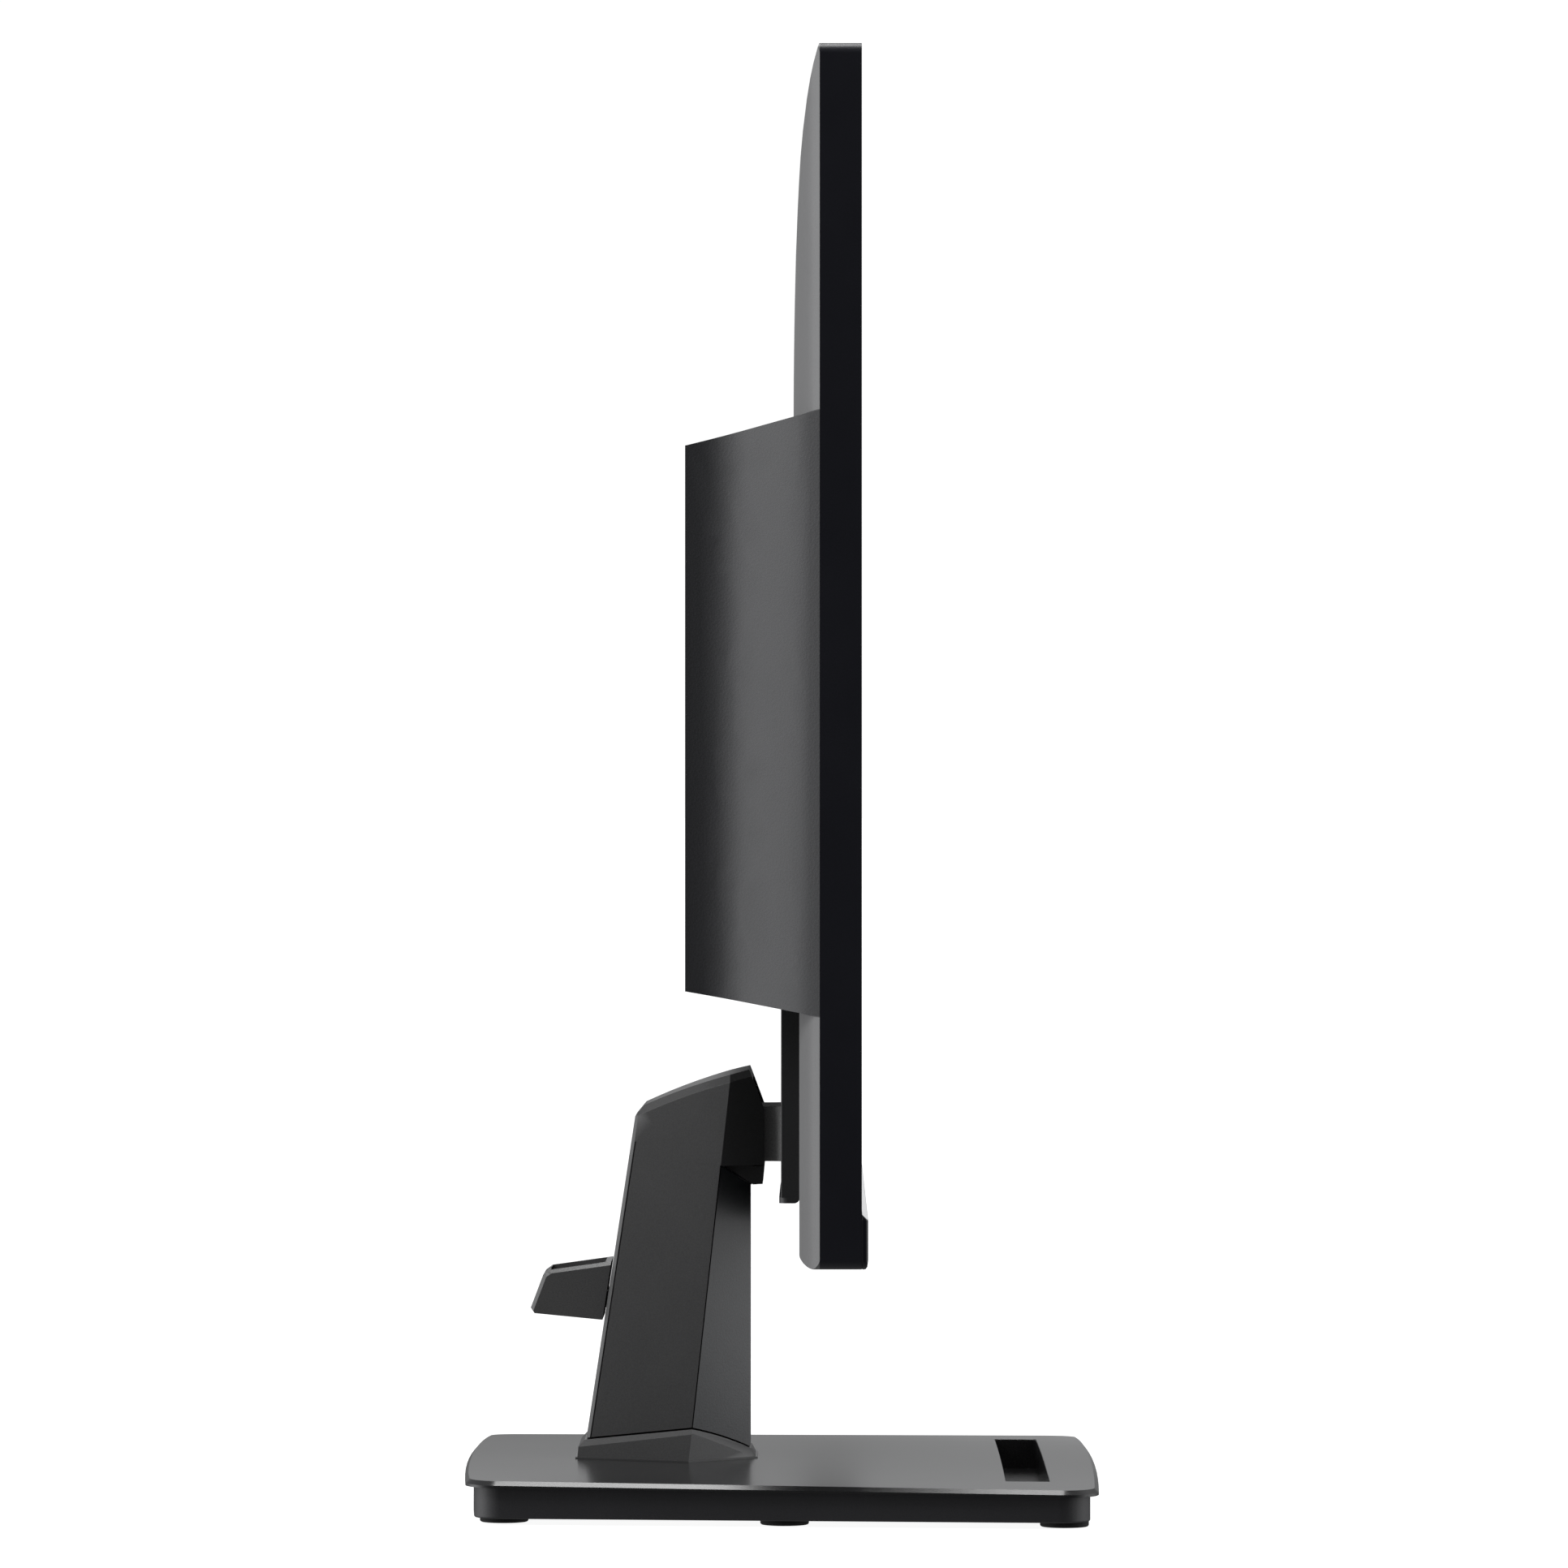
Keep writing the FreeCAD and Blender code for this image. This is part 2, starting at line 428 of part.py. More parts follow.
cover = soften(cover, 0.4, lambda e: abs(mid(e).y - CV_Y1) < 1e-3 and e.BoundBox.ZLength > 50)
cover = cover.cut(box(-60, 60, CV_Y1 - 3.5, CV_Y1 + 1, CV_Z0 - 1, CV_Z0 + 1.9))
end_lip = box(-CV_X, CV_X, CV_Y1 - 3.5, CV_Y1 + 0.6, CV_Z0, CV_Z0 + 1.9)
end_lip = soften(end_lip, 2.8, lambda e: abs(mid(e).y - CV_Y1 - 0.6) < 1e-3 and e.BoundBox.ZLength > 1.0)
cover = fuse(cover, end_lip, prism_x([(CV_Y1 - 1, CV_Z0 + 1.0), (CV_Y1 + 0.6, CV_Z0 + 1.0), (CV_Y1 + 0.6, CV_Z0 + 2.1), (CV_Y1, CV_Z0 + 5.2), (CV_Y1 - 1, CV_Z0 + 5.2)], -CV_X + 2.9, CV_X - 2.9))
cover = soften(cover, 1.9, lambda e: abs(mid(e).z - CV_Z0) < 1e-3 and abs(mid(e).y - CV_Y0) < 1e-3)
cover = cover.cut(box(-35.3, 35.3, -4.4, -1.4, 105.6, 180))
cover = cover.cut(box(-22.1, 22.1, -3, 5, AX_Z - 8.55, AX_Z + COWL_UP + 0.1))
save("bracket_cover", cover)
cowl_y = [0.1, 1.2, 3.0, 8.6]
cowl_x = [23.6, 21.2, 20.2, 20.0]
pts = [(-x, y) for x, y in zip(cowl_x, cowl_y)]
pts = [(-22.0, -1.3), (-22.0, 0.05), (-21.8, 0.05), (-20.9, 0.9), (-20.25, 2.3), (-20.0, 4.0), (-20.0, 7.6)]
pts = pts + [(-x, y) for x, y in reversed(pts)]
cowl = prism_z(pts, AX_Z - 8.45, AX_Z + COWL_UP)
cowl = soften(cowl, 0.8, lambda e: min(abs(mid(e).z - AX_Z + 8.45), abs(mid(e).z - AX_Z - COWL_UP)) < 1e-3 and abs(e.Length - 40.0) < 0.5 and mid(e).y > 5)
cowl = cowl.cut(box(-16.2, 16.2, -5, 20, AX_Z - 7.2, AX_Z + 7.2))
cowl = cowl.cut(cyl(KNUCKLE_R + 0.5, (-30, AX_Y, AX_Z), (1, 0, 0), 60))
save("hinge_cowl", cowl)
bsc = []
for sx in (-1, 1):
    for z in (187, 207):
        s = cyl(3.8, (sx * 26, -1.35, z), (0, 1, 0), 2.2).fuse(cyl(1.55, (sx * 26, -12, z), (0, 1, 0), 11.0))
        bsc.append(s.removeSplitter())
save("bracket_screws", compound(*bsc))

# ================================================================ STAND
R_TOP = (47.8, 128.3)


def yr(z):
    return 63.9 - 0.1516 * (z - 22.1)


def yc(z):
    return 29.0 - 0.1091 * (z - 26.4)


WR, WM, WF, WH = 19.5, 31.0, 12.0, 24.0


def hexagon(z, t, yf, wf):
    wr, wm = WR - t, WM - t * 1.1
    c = NECK_CH * (1 if t < 0.5 else 0.3)
    return [(-wr + c, yr(z) - t, z), (-wr - c * 0.42, yr(z) - t - c * 1.28, z), (-wm, yc(z), z), (-(wf - 0.5 * t), yf + t, z),
            (wf - 0.5 * t, yf + t, z), (wm, yc(z), z), (wr + c * 0.42, yr(z) - t - c * 1.28, z), (wr - c, yr(z) - t, z)]


def roof_above(drop):
    e = [Part.Arc(V(-80, 2.0, 13.6 - drop), V(-80, 19.3, 22.75 - drop), V(-80, 29.1, 26.0 - drop)).toShape(),
         seg((-80, 29.1, 26.0 - drop), (-80, 90.0, 18.8 - drop)), seg((-80, 90.0, 18.8 - drop), (-80, 90, 200)),
         seg((-80, 90, 200), (-80, 2.0, 200)), seg((-80, 2.0, 200), (-80, 2.0, 13.6 - drop))]
    return face_of(e).extrude(V(160, 0, 0))


def cut_beyond(shape, p1, p2, p3, keep):
    """Cuts away what lies beyond the plane through three points, on the side away from keep."""
    p1, p2, p3, keep = V(*p1), V(*p2), V(*p3), V(*keep)
    n = (p2 - p1).cross(p3 - p1).normalize()
    if (keep - p1).dot(n) > 0:
        n = n * -1
    u = (p2 - p1).normalize()
    w = n.cross(u)
    a = 150.0
    q = [p1 + u * a + w * a, p1 - u * a + w * a, p1 - u * a - w * a, p1 + u * a - w * a]
    return shape.cut(Part.Face(Part.makePolygon(q + [q[0]])).extrude(n * 60.0))


def neck_solid(t):
    """Outer shape of the neck, inset by t."""
    col = loft([hexagon(10.0, t, 10.2, WF), hexagon(118.0, t, 10.2, WF)])
    # front part of the column ends under the head, on a slope
    s = t
    front_top = prism_x([(yc(111.5) + 40, 111.5 + 26 - s), (-20, 86.0 - s), (-20, 200), (yc(111.5) + 40, 200)], -80, 80)
    fore = prism_x([(yc(0) - 0.0, 0), (yc(200), 200), (-60, 200), (-60, 0)], -80, 80)
    col = col.cut(front_top.common(fore))
    head = loft([hexagon(100.0, t, 5.5, WH), hexagon(152.0, t, 5.5, WH)])
    zlow = 111.5 + s
    head_up = head.common(box(-80, 80, -50, 120, zlow, 200))
    block = prism_x([(5.5 + s, 112.5), (5.5 + s, 111.5), (6.1 + s, 105.1 + s), (9.8, 104.9 + s), (19.5 + 2, 111.4 + s), (19.5 + 2, 114)], -19.5 + s, 19.5 - s)
    n = col.fuse([head_up, block])
    # top: a shallow arc, cut at the back and sloped at the front
    p0 = (70.0, 106.0 - s)
    e = [seg((0, 50.0, 124.8 - s), (0, 44.9, 131.0 - s)),
         Part.Arc(V(0, 44.9, 131.0 - s), V(0, 27.5, 137.9 - s), V(0, 10.5 + 0.4 * s, 142.8 - s)).toShape(),
         seg((0, 10.5 + 0.4 * s, 142.8 - s), (0, 5.5 + s, 129.5 - 0.2 * s)),
         seg((0, 5.5 + s, 129.5 - 0.2 * s), (0, 5.5 + s, 90.0)),
         seg((0, 5.5 + s, 90.0), (0, -20.0, 90.0)), seg((0, -20.0, 90.0), (0, -20.0, 0.0)), seg((0, -20.0, 0.0), (0, 90.0, 0.0)),
         seg((0, 90.0, 0.0), (0, 90.0, 90.0)), seg((0, 90.0, 90.0), (0, 50.0, 124.8 - s))]
    prof = face_of(e).extrude(V(160, 0, 0))
    prof.translate(V(-80, 0, 0))
    n = n.common(prof)
    # bottom: two planes that meet at the widest line, like a low roof
    n = n.common(roof_above(0.0))
    return n.removeSplitter()


no = neck_solid(0.0)
top_edges = lambda e: (mid(e).z > 126.5 and abs(mid(e).x) > 20.5 and mid(e).y > 11.5 and e.BoundBox.ZLength < 12.5 and e.BoundBox.YLength > 3)
no_c = soften(no, 2.4, top_edges, "chamfer")
ni = neck_solid(NECK_T)
ni = ni.fuse(ni.copy().common(box(-80, 80, -60, 120, 0, 60)).translated(V(0, 0, -12)))
walls = no_c.cut(ni)
# parting: the lower front cover meets the shell in the plane through the widest lines
G = 0.17
fore_cover = prism_x([(yc(0) - G, 0), (yc(150) - G, 150), (-40, 150), (-40, 0)], -80, 80).common(
    prism_x([(yc(111.5) + 40, 111.5 + 26 - 0.3), (-20, 86.0 - 0.3), (-20, -10), (yc(111.5) + 40, -10)], -80, 80))
fore_cut = prism_x([(yc(0) + G, 0), (yc(150) + G, 150), (-40, 150), (-40, 0)], -80, 80).common(
    prism_x([(yc(111.5) + 40, 111.5 + 26), (-20, 86.0), (-20, -10), (yc(111.5) + 40, -10)], -80, 80))
neck_front = walls.common(fore_cover)
neck_shell = walls.cut(fore_cut)
window = box(-22.5, 22.5, -5, 9.2, 111.0, 138.0).fuse(prism_x([(-5, 111), (9.2, 111), (12.0, 137), (9.0, 139.8), (-5, 139.8)], -22.5, 22.5))
neck_shell = neck_shell.cut(window)
neck_shell = neck_shell.cut(cyl(KNUCKLE_R + 0.6, (-21.5, AX_Y, AX_Z), (1, 0, 0), 43.0))
sl = sorted(neck_shell.Solids, key=lambda q: -q.Volume)
print("neck_shell pieces", [round(q.Volume, 1) for q in sl][:5], "front", [round(q.Volume, 1) for q in neck_front.Solids])
neck_shell = sl[0]
# fine groove beside the rear bevel
for sx in (-1, 1):
    groove = prism_x([(yr(0) - 1.62, 0), (yr(0) - 1.24, 0), (yr(119) - 1.24, 119), (yr(119) - 1.62, 119)], 0, 20)
    groove.translate(V(19.5 if sx > 0 else -39.5, 0, 0))
    neck_shell = neck_shell.cut(groove)
# clip slots in the rear wall for the cable clip
neck_shell = neck_shell.cut([box(sx * 10 - 3, sx * 10 + 3, 48, 70, 64, 70) for sx in (-1, 1)])
save("neck_shell", neck_shell)
save("neck_front", sorted(neck_front.Solids, key=lambda q: -q.Volume)[0])

# ---- collar round the neck's foot
Z_TOP0 = BASE_EDGE_Z + CROWN


def base_top_z(x, y):
    return BASE_EDGE_Z + BASE_SLOPE * y + CROWN * (1 - (x / CROWN_HALF) ** 2)


low = [(-21.5, 67.0), (-34.2, 30.3), (-13.4, 8.3), (13.4, 8.3), (34.2, 30.3), (21.5, 67.0)]
upp = [(-20.9, 66.2), (-33.4, 29.4), (-13.1, 8.6), (13.1, 8.6), (33.4, 29.4), (20.9, 66.2)]
ZL = 13.9
collar = loft([[(x, y, ZL) for x, y in low], [(a + (a - x) * 0.5, b + (b - y) * 0.5, 27.0) for (x, y), (a, b) in zip(low, upp)]])
collar = collar.cut(roof_above(0.55))
keep = (0, 35, 15)
for sx in (-1, 1):
    collar = cut_beyond(collar, (sx * 20.9, 66.2, 19.4), (sx * 33.4, 29.0, 23.9), (sx * 31.7, 29.1, 25.6), keep)
    collar = cut_beyond(collar, (sx * 33.4, 29.0, 23.9), (sx * 13.1, 8.7, 15.5), (sx * 31.7, 29.1, 25.6), keep)
collar = cut_beyond(collar, (20.9, 66.2, 19.4), (-20.9, 66.2, 19.4), (0, 64.4, 21.4), keep)
collar = cut_beyond(collar, (13.1, 8.6, 15.5), (-13.1, 8.6, 15.5), (0, 9.8, 17.6), keep)


def offset_poly(pts, d):
    """Convex polygon moved outward by d."""
    out = []
    n = len(pts)
    for i in range(n):
        p0, p1, p2 = pts[i - 1], pts[i], pts[(i + 1) % n]
        e1, e2 = (p1[0] - p0[0], p1[1] - p0[1]), (p2[0] - p1[0], p2[1] - p1[1])
        l1, l2 = math.hypot(*e1), math.hypot(*e2)
        n1, n2 = (e1[1] / l1, -e1[0] / l1), (e2[1] / l2, -e2[0] / l2)
        if n1[0] * p1[0] + n1[1] * (p1[1] - 35.0) < 0:
            n1, n2 = (-n1[0], -n1[1]), (-n2[0], -n2[1])
        k = d / (1.0 + n1[0] * n2[0] + n1[1] * n2[1])
        out.append((p1[0] + (n1[0] + n2[0]) * k, p1[1] + (n1[1] + n2[1]) * k))
    return out


cavity = loft([hexagon(8.0, NECK_T + 0.9, 10.2, WF), hexagon(32.0, NECK_T + 0.9, 10.2, WF)])
collar = collar.cut(cavity)
FLANGE, FLANGE_Z = 0.5, 0.5     # foot flange: how far it stands out, and its height
flange = prism_z(offset_poly(low, FLANGE), 8.0, 22.0)

# ---- base cover: a thin crowned plate with a phone slot near its front edge


def base_prism(inset, z0, z1):
    xf, xr, yf_, yr_ = 124.0 - inset, 105.5 - inset, -101.0 + inset, 100.2 - inset
    bf, br_ = -103.0 + inset, 103.0 - inset
    e = [Part.Arc(V(-xf, yf_, z0), V(0, bf, z0), V(xf, yf_, z0)).toShape(), seg((xf, yf_, z0), (xr, yr_, z0)),
         Part.Arc(V(xr, yr_, z0), V(0, br_, z0), V(-xr, yr_, z0)).toShape(), seg((-xr, yr_, z0), (-xf, yf_, z0))]
    p = face_of(e).extrude(V(0, 0, z1 - z0))
    r = max(11.0 - inset * 0.6, 4.0)
    es = [ed for ed in p.Edges if ed.BoundBox.ZLength > (z1 - z0) * 0.9]
    return p.makeFillet(r, es)


RC = (CROWN_HALF ** 2 + CROWN ** 2) / (2 * CROWN)


def crown_tool(drop):
    """Everything below the crowned top surface, lowered by drop."""
    ang = math.atan(BASE_SLOPE)
    d = V(0, math.cos(ang), math.sin(ang))
    top = V(0, 0, BASE_EDGE_Z + CROWN - drop)
    r = RC
    c = top - V(0, -math.sin(ang), math.cos(ang)) * r
    strip = Part.makeCylinder(r, 500, c - d * 250, d)
    strip.rotate(c, d, 180)
    return strip.common(box(-140, 140, -140, 140, -5, 30))


below0 = crown_tool(0.0)
below1 = crown_tool(BASE_T)
plate = base_prism(0.0, 4.0, 20.0).common(below0)
plate = soften(plate, LIP_CH, lambda e: mid(e).z > 11.0 and e.BoundBox.ZLength < 4.0, "chamfer")
plate = plate.cut(below1)
plate = [s for s in plate.Solids if s.Volume > 1000][0]
slot_w = rbox(-SLOT_X - 1.8, SLOT_X + 1.8, SLOT_Y0 - 1.8, SLOT_Y1 + 1.8, SLOT_Z - 1.1, 13.0, 2.0, "z").common(below1)
slot_w = slot_w.common(crown_tool(BASE_T - 0.3))
base_cover = plate.fuse(slot_w).removeSplitter()
base_cover = base_cover.cut(rbox(-SLOT_X, SLOT_X, SLOT_Y0, SLOT_Y1, SLOT_Z, 30.0, 0.8, "z"))
base_cover = soften(base_cover, 0.35, lambda e: SLOT_Y0 - 0.1 < mid(e).y < SLOT_Y1 + 0.1 and abs(mid(e).x) < SLOT_X + 0.1 and mid(e).z > 12.0)
# the collar is seated on the crowned surface; the neck's foot passes through the cover
foot_hole = rbox(-19.0, 19.0, 22.0, 56.0, 0, 30, 3.0, "z")
base_cover = base_cover.cut(foot_hole)
save("base_cover", base_cover)
flange = flange.common(crown_tool(-FLANGE_Z)).cut(cavity)
collar = collar.fuse(flange).removeSplitter().cut(below0)
cs = sorted(collar.Solids, key=lambda q: -q.Volume)
save("neck_collar", cs[0])

# ---- base pan, weight, feet
pan = base_prism(2.7, 2.0, 20.0).common(crown_tool(BASE_T + 0.05)).cut(base_prism(2.7 + 2.2, 4.0, 30.0))
pan = [s for s in pan.Solids if s.Volume > 1000][0]
pan = soften(pan, 0.6, lambda e: abs(mid(e).z - 2.0) < 1e-3)
bosses = []
BOSS = [(-96, 84), (96, 84), (-104, 0), (104, 0), (-112, -62), (112, -62)]
for x, y in BOSS:
    bosses.append(cyl(4.0, (x, y, 3.0), (0, 0, 1), 7.4))
pan = fuse(pan, *bosses)
SC_X, SC_Y = 0.0, 38.0
well = cyl(17.0, (SC_X, SC_Y, 2.0), (0, 0, 1), 6.4)
pan = fuse(pan, well)
pan = pan.cut(cyl(15.2, (SC_X, SC_Y, 0), (0, 0, 1), 7.2)).cut(cyl(4.4, (SC_X, SC_Y, 0), (0, 0, 1), 20))
pan = pan.cut([cyl(3.1, (x, y, 0), (0, 0, 1), 4.2) for x, y in BOSS]).cut([cyl(1.6, (x, y, 0), (0, 0, 1), 9.6) for x, y in BOSS])
pan = pan.cut(rbox(-SLOT_X - 2.0, SLOT_X + 2.0, SLOT_Y0 - 2.0, SLOT_Y1 + 2.0, 0, 8.0, 2.2, "z"))
FEET = [(-88.0, 88.5), (88.0, 88.5), (-99.5, -1.4), (99.5, -1.4), (-107.5, -90.5), (107.5, -90.5)]
pan = pan.cut([cyl(FOOT_R + 0.1, (x, y, 0), (0, 0, 1), 2.8) for x, y in FEET])
save("base_pan", pan)
feet = []
for x, y in FEET:
    f = cyl(FOOT_R, (x, y, 0.0), (0, 0, 1), 2.75)
    f = soften(f, 0.7, lambda e: abs(mid(e).z) < 1e-6)
    feet.append(f)
save("base_feet", compound(*feet))
scr = []
for x, y in BOSS:
    q = cyl(2.9, (x, y, 2.9), (0, 0, 1), 1.28).fuse(cyl(1.55, (x, y, 4.0), (0, 0, 1), 5.4)).removeSplitter()
    q = q.cut(fuse(box(x - 1.8, x + 1.8, y - 0.35, y + 0.35, 2, 3.5), box(x - 0.35, x + 0.35, y - 1.8, y + 1.8, 2, 3.5)))
    scr.append(q)
save("base_screws", compound(*scr))
weight = base_prism(7.5, 4.1, 7.6).common(box(-200, 200, SLOT_Y1 + 4, 200, 0, 20))
weight = weight.cut([cyl(4.6, (x, y, 0), (0, 0, 1), 20) for x, y in BOSS]).cut(cyl(17.6, (SC_X, SC_Y, 0), (0, 0, 1), 20))
save("base_weight", weight)

# ---- steel spine inside the neck: foot, web and two hinge ears
web = prism_x([(26.5, 12.6), (29.5, 12.6), (25.8, 100.0), (25.8, 129.0), (22.8, 129.0), (22.8, 100.0)], -20.5, 20.5)
foot = rbox(-18.6, 18.6, 24.0, 54.0, 8.5, 12.6, 2.5, "z")
gus = [prism_x([(28.5, 12.5), (50.0, 12.5), (27.5, 52.0)], sx * 15 - 1.2, sx * 15 + 1.2) for sx in (-1, 1)]
ears = []
for sx in (-1, 1):
    x0 = 17.5 if sx > 0 else -20.5
    ear = box(x0, x0 + 3.0, AX_Y, 25.5, AX_Z - 8.0, AX_Z + 8.0).fuse(cyl(8.0, (x0, AX_Y, AX_Z), (1, 0, 0), 3.0))
    ears.append(ear.removeSplitter())
web = web.cut([box(-20.6, -17.0, 20, 40, 0, 70), box(17.0, 20.6, 20, 40, 0, 70)])
spine = fuse(web, foot, *(gus + ears))
spine = spine.cut(cyl(PIN_R, (-30, AX_Y, AX_Z), (1, 0, 0), 60))
spine = spine.cut(cyl(3.0, (SC_X, SC_Y, 0), (0, 0, 1), 13.5))
spine = spine.cut([cyl(2.4, (0, 10, z), (0, 1, 0), 40) for z in (56, 84)])
save("neck_spine", spine)
pin = cyl(PIN_R, (-23.3, AX_Y, AX_Z), (1, 0, 0), 46.6)
save("hinge_pin", pin)
wash = []
for sx in (-1, 1):
    a, b = (15.6, 16.45) if sx > 0 else (-16.45, -15.6)
    wash.append(ring(7.2, PIN_R, (a, AX_Y, AX_Z), (1, 0, 0), 0.85))
    a, b = (16.5, 17.45) if sx > 0 else (-17.45, -16.5)
    wash.append(ring(6.4, PIN_R, (a, AX_Y, AX_Z), (1, 0, 0), 0.95))
save("friction_washers", compound(*wash))
nuts = []
for sx in (-1, 1):
    x0 = 20.55 if sx > 0 else -23.05
    pts = [(x0, AX_Y + 6.4 * math.cos(math.radians(60 * i + 30)), AX_Z + 6.4 * math.sin(math.radians(60 * i + 30))) for i in range(6)]
    nuts.append(poly_face(pts).extrude(V(2.5, 0, 0)).cut(cyl(PIN_R, (x0 - 1, AX_Y, AX_Z), (1, 0, 0), 6)))
save("hinge_nuts", compound(*nuts))

# ---- cable clip on the back of the neck
clip_o = prism_x([(yr(79.6) + 0.6, 79.6), (yr(60.4) + 0.6, 60.4), (81.0, 62.6), (82.3, 64.4), (78.2, 75.2), (76.0, 76.8)], -17.5, 17.5)
clip_o = soften(clip_o, 1.2, lambda e: abs(abs(mid(e).x) - 17.5) < 1e-3 and mid(e).y > yr(mid(e).z) + 1.6 and mid(e).z > 63.5, "chamfer")
clip_i = prism_x([(yr(90.0) + 2.6, 90.0), (yr(50.0) + 2.6, 50.0), (85.4, 50.0), (80.4, 63.8), (76.2, 75.6), (71.0, 90.0)], -15.9, 15.9)
clip = clip_o.cut(clip_i)
clip = clip.cut(box(-3.5, 3.5, 70, 90, 50, 90))
tabs = [box(sx * 10 - 2.8, sx * 10 + 2.8, yr(67) - 4.6, yr(67) + 2.0, 64.3, 69.7) for sx in (-1, 1)]
tabs = [t.common(prism_x([(0, 50), (yr(50) + 1.5, 50), (yr(90) + 1.5, 90), (0, 90)], -40, 40)) for t in tabs]
clip = fuse(clip, *tabs)
clip = clip.cut(box(-3.5, 3.5, 70, 90, 50, 90))
save("cable_clip", sorted(clip.Solids, key=lambda q: -q.Volume)[0])

# ---- captive thumb screw and its folding ring, in the base's underside
ts = fuse(cyl(13.0, (SC_X, SC_Y, 4.1), (0, 0, 1), 2.7), cyl(2.95, (SC_X, SC_Y, 6.5), (0, 0, 1), 5.9))
ts = ts.cut(box(-8.4, 8.4, SC_Y - 1.7, SC_Y + 9.9, 0, 6.0)).cut(box(-11.9, 11.9, SC_Y - 1.2, SC_Y + 1.2, 0, 6.0))
RY, RZ = SC_Y, 4.9
ts = ts.cut(cyl(0.83, (-14, RY, RZ), (1, 0, 0), 28))
save("thumb_screw", ts)
rg = prism_z([(-7.9, RY), (-7.9, RY + 9.2), (7.9, RY + 9.2), (7.9, RY), (5.9, RY), (5.9, RY + 7.4), (-5.9, RY + 7.4), (-5.9, RY)], RZ - 0.75, RZ + 0.75)
rg = fuse(rg, cyl(0.75, (-12.7, RY, RZ), (1, 0, 0), 6.6), cyl(0.75, (6.1, RY, RZ), (1, 0, 0), 6.6))
save("screw_ring", rg)
print("done")
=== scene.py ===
import bpy, bmesh, math, json
from mathutils import Vector, Matrix, noise

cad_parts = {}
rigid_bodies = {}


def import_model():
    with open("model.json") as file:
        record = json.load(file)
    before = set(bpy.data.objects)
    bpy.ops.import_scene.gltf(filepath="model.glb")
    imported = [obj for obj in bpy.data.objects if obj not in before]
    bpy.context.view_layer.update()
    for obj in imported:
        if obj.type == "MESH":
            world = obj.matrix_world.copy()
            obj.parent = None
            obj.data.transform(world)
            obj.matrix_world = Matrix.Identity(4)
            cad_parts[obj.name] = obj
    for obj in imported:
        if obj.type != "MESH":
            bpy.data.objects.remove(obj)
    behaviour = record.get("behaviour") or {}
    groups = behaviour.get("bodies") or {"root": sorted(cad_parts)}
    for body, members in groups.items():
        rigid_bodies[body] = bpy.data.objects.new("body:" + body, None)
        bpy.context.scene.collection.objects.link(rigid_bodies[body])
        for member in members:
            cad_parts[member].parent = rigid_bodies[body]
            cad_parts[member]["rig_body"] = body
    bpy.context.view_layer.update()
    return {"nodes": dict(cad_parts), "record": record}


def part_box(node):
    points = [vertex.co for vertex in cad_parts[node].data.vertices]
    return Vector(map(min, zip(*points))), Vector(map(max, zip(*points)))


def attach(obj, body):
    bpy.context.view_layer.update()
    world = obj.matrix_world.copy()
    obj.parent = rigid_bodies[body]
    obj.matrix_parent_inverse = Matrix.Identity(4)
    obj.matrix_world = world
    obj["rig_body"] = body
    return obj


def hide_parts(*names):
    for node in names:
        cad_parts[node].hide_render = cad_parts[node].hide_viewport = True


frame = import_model()


# ------------------------------------------------------------------ node helpers
def new_mat(name):
    m = bpy.data.materials.new(name)
    m.use_nodes = True
    nt = m.node_tree
    nt.nodes.clear()
    out = nt.nodes.new("ShaderNodeOutputMaterial")
    b = nt.nodes.new("ShaderNodeBsdfPrincipled")
    nt.links.new(b.outputs["BSDF"], out.inputs["Surface"])
    return m, nt, b


def coords(nt, scale=1.0):
    tc = nt.nodes.new("ShaderNodeTexCoord")
    mp = nt.nodes.new("ShaderNodeMapping")
    nt.links.new(tc.outputs["Object"], mp.inputs["Vector"])
    if isinstance(scale, (int, float)):
        scale = (scale, scale, scale)
    mp.inputs["Scale"].default_value = scale
    return mp.outputs["Vector"]


def noise_tex(nt, vec, scale, detail=2.0, rough=0.5):
    n = nt.nodes.new("ShaderNodeTexNoise")
    n.inputs["Scale"].default_value = scale
    n.inputs["Detail"].default_value = detail
    n.inputs["Roughness"].default_value = rough
    nt.links.new(vec, n.inputs["Vector"])
    return n.outputs["Fac"]


def voronoi(nt, vec, scale):
    n = nt.nodes.new("ShaderNodeTexVoronoi")
    n.inputs["Scale"].default_value = scale
    nt.links.new(vec, n.inputs["Vector"])
    return n.outputs["Distance"]


def remap(nt, val, a, b, lo, hi):
    n = nt.nodes.new("ShaderNodeMapRange")
    n.inputs["From Min"].default_value = a
    n.inputs["From Max"].default_value = b
    n.inputs["To Min"].default_value = lo
    n.inputs["To Max"].default_value = hi
    nt.links.new(val, n.inputs["Value"])
    return n.outputs["Result"]


def mix_rgb(nt, fac, a, b):
    n = nt.nodes.new("ShaderNodeMix")
    n.data_type = "RGBA"
    for sock, v in ((n.inputs[6], a), (n.inputs[7], b)):
        if hasattr(v, "is_output"):
            nt.links.new(v, sock)
        else:
            sock.default_value = (v[0], v[1], v[2], 1.0)
    if hasattr(fac, "is_output"):
        nt.links.new(fac, n.inputs[0])
    else:
        n.inputs[0].default_value = fac
    return n.outputs[2]


def math_node(nt, op, a, b=None, clamp=False):
    n = nt.nodes.new("ShaderNodeMath")
    n.operation = op
    n.use_clamp = clamp
    for i, v in enumerate((a, b)):
        if v is None:
            continue
        if hasattr(v, "is_output"):
            nt.links.new(v, n.inputs[i])
        else:
            n.inputs[i].default_value = v
    return n.outputs[0]


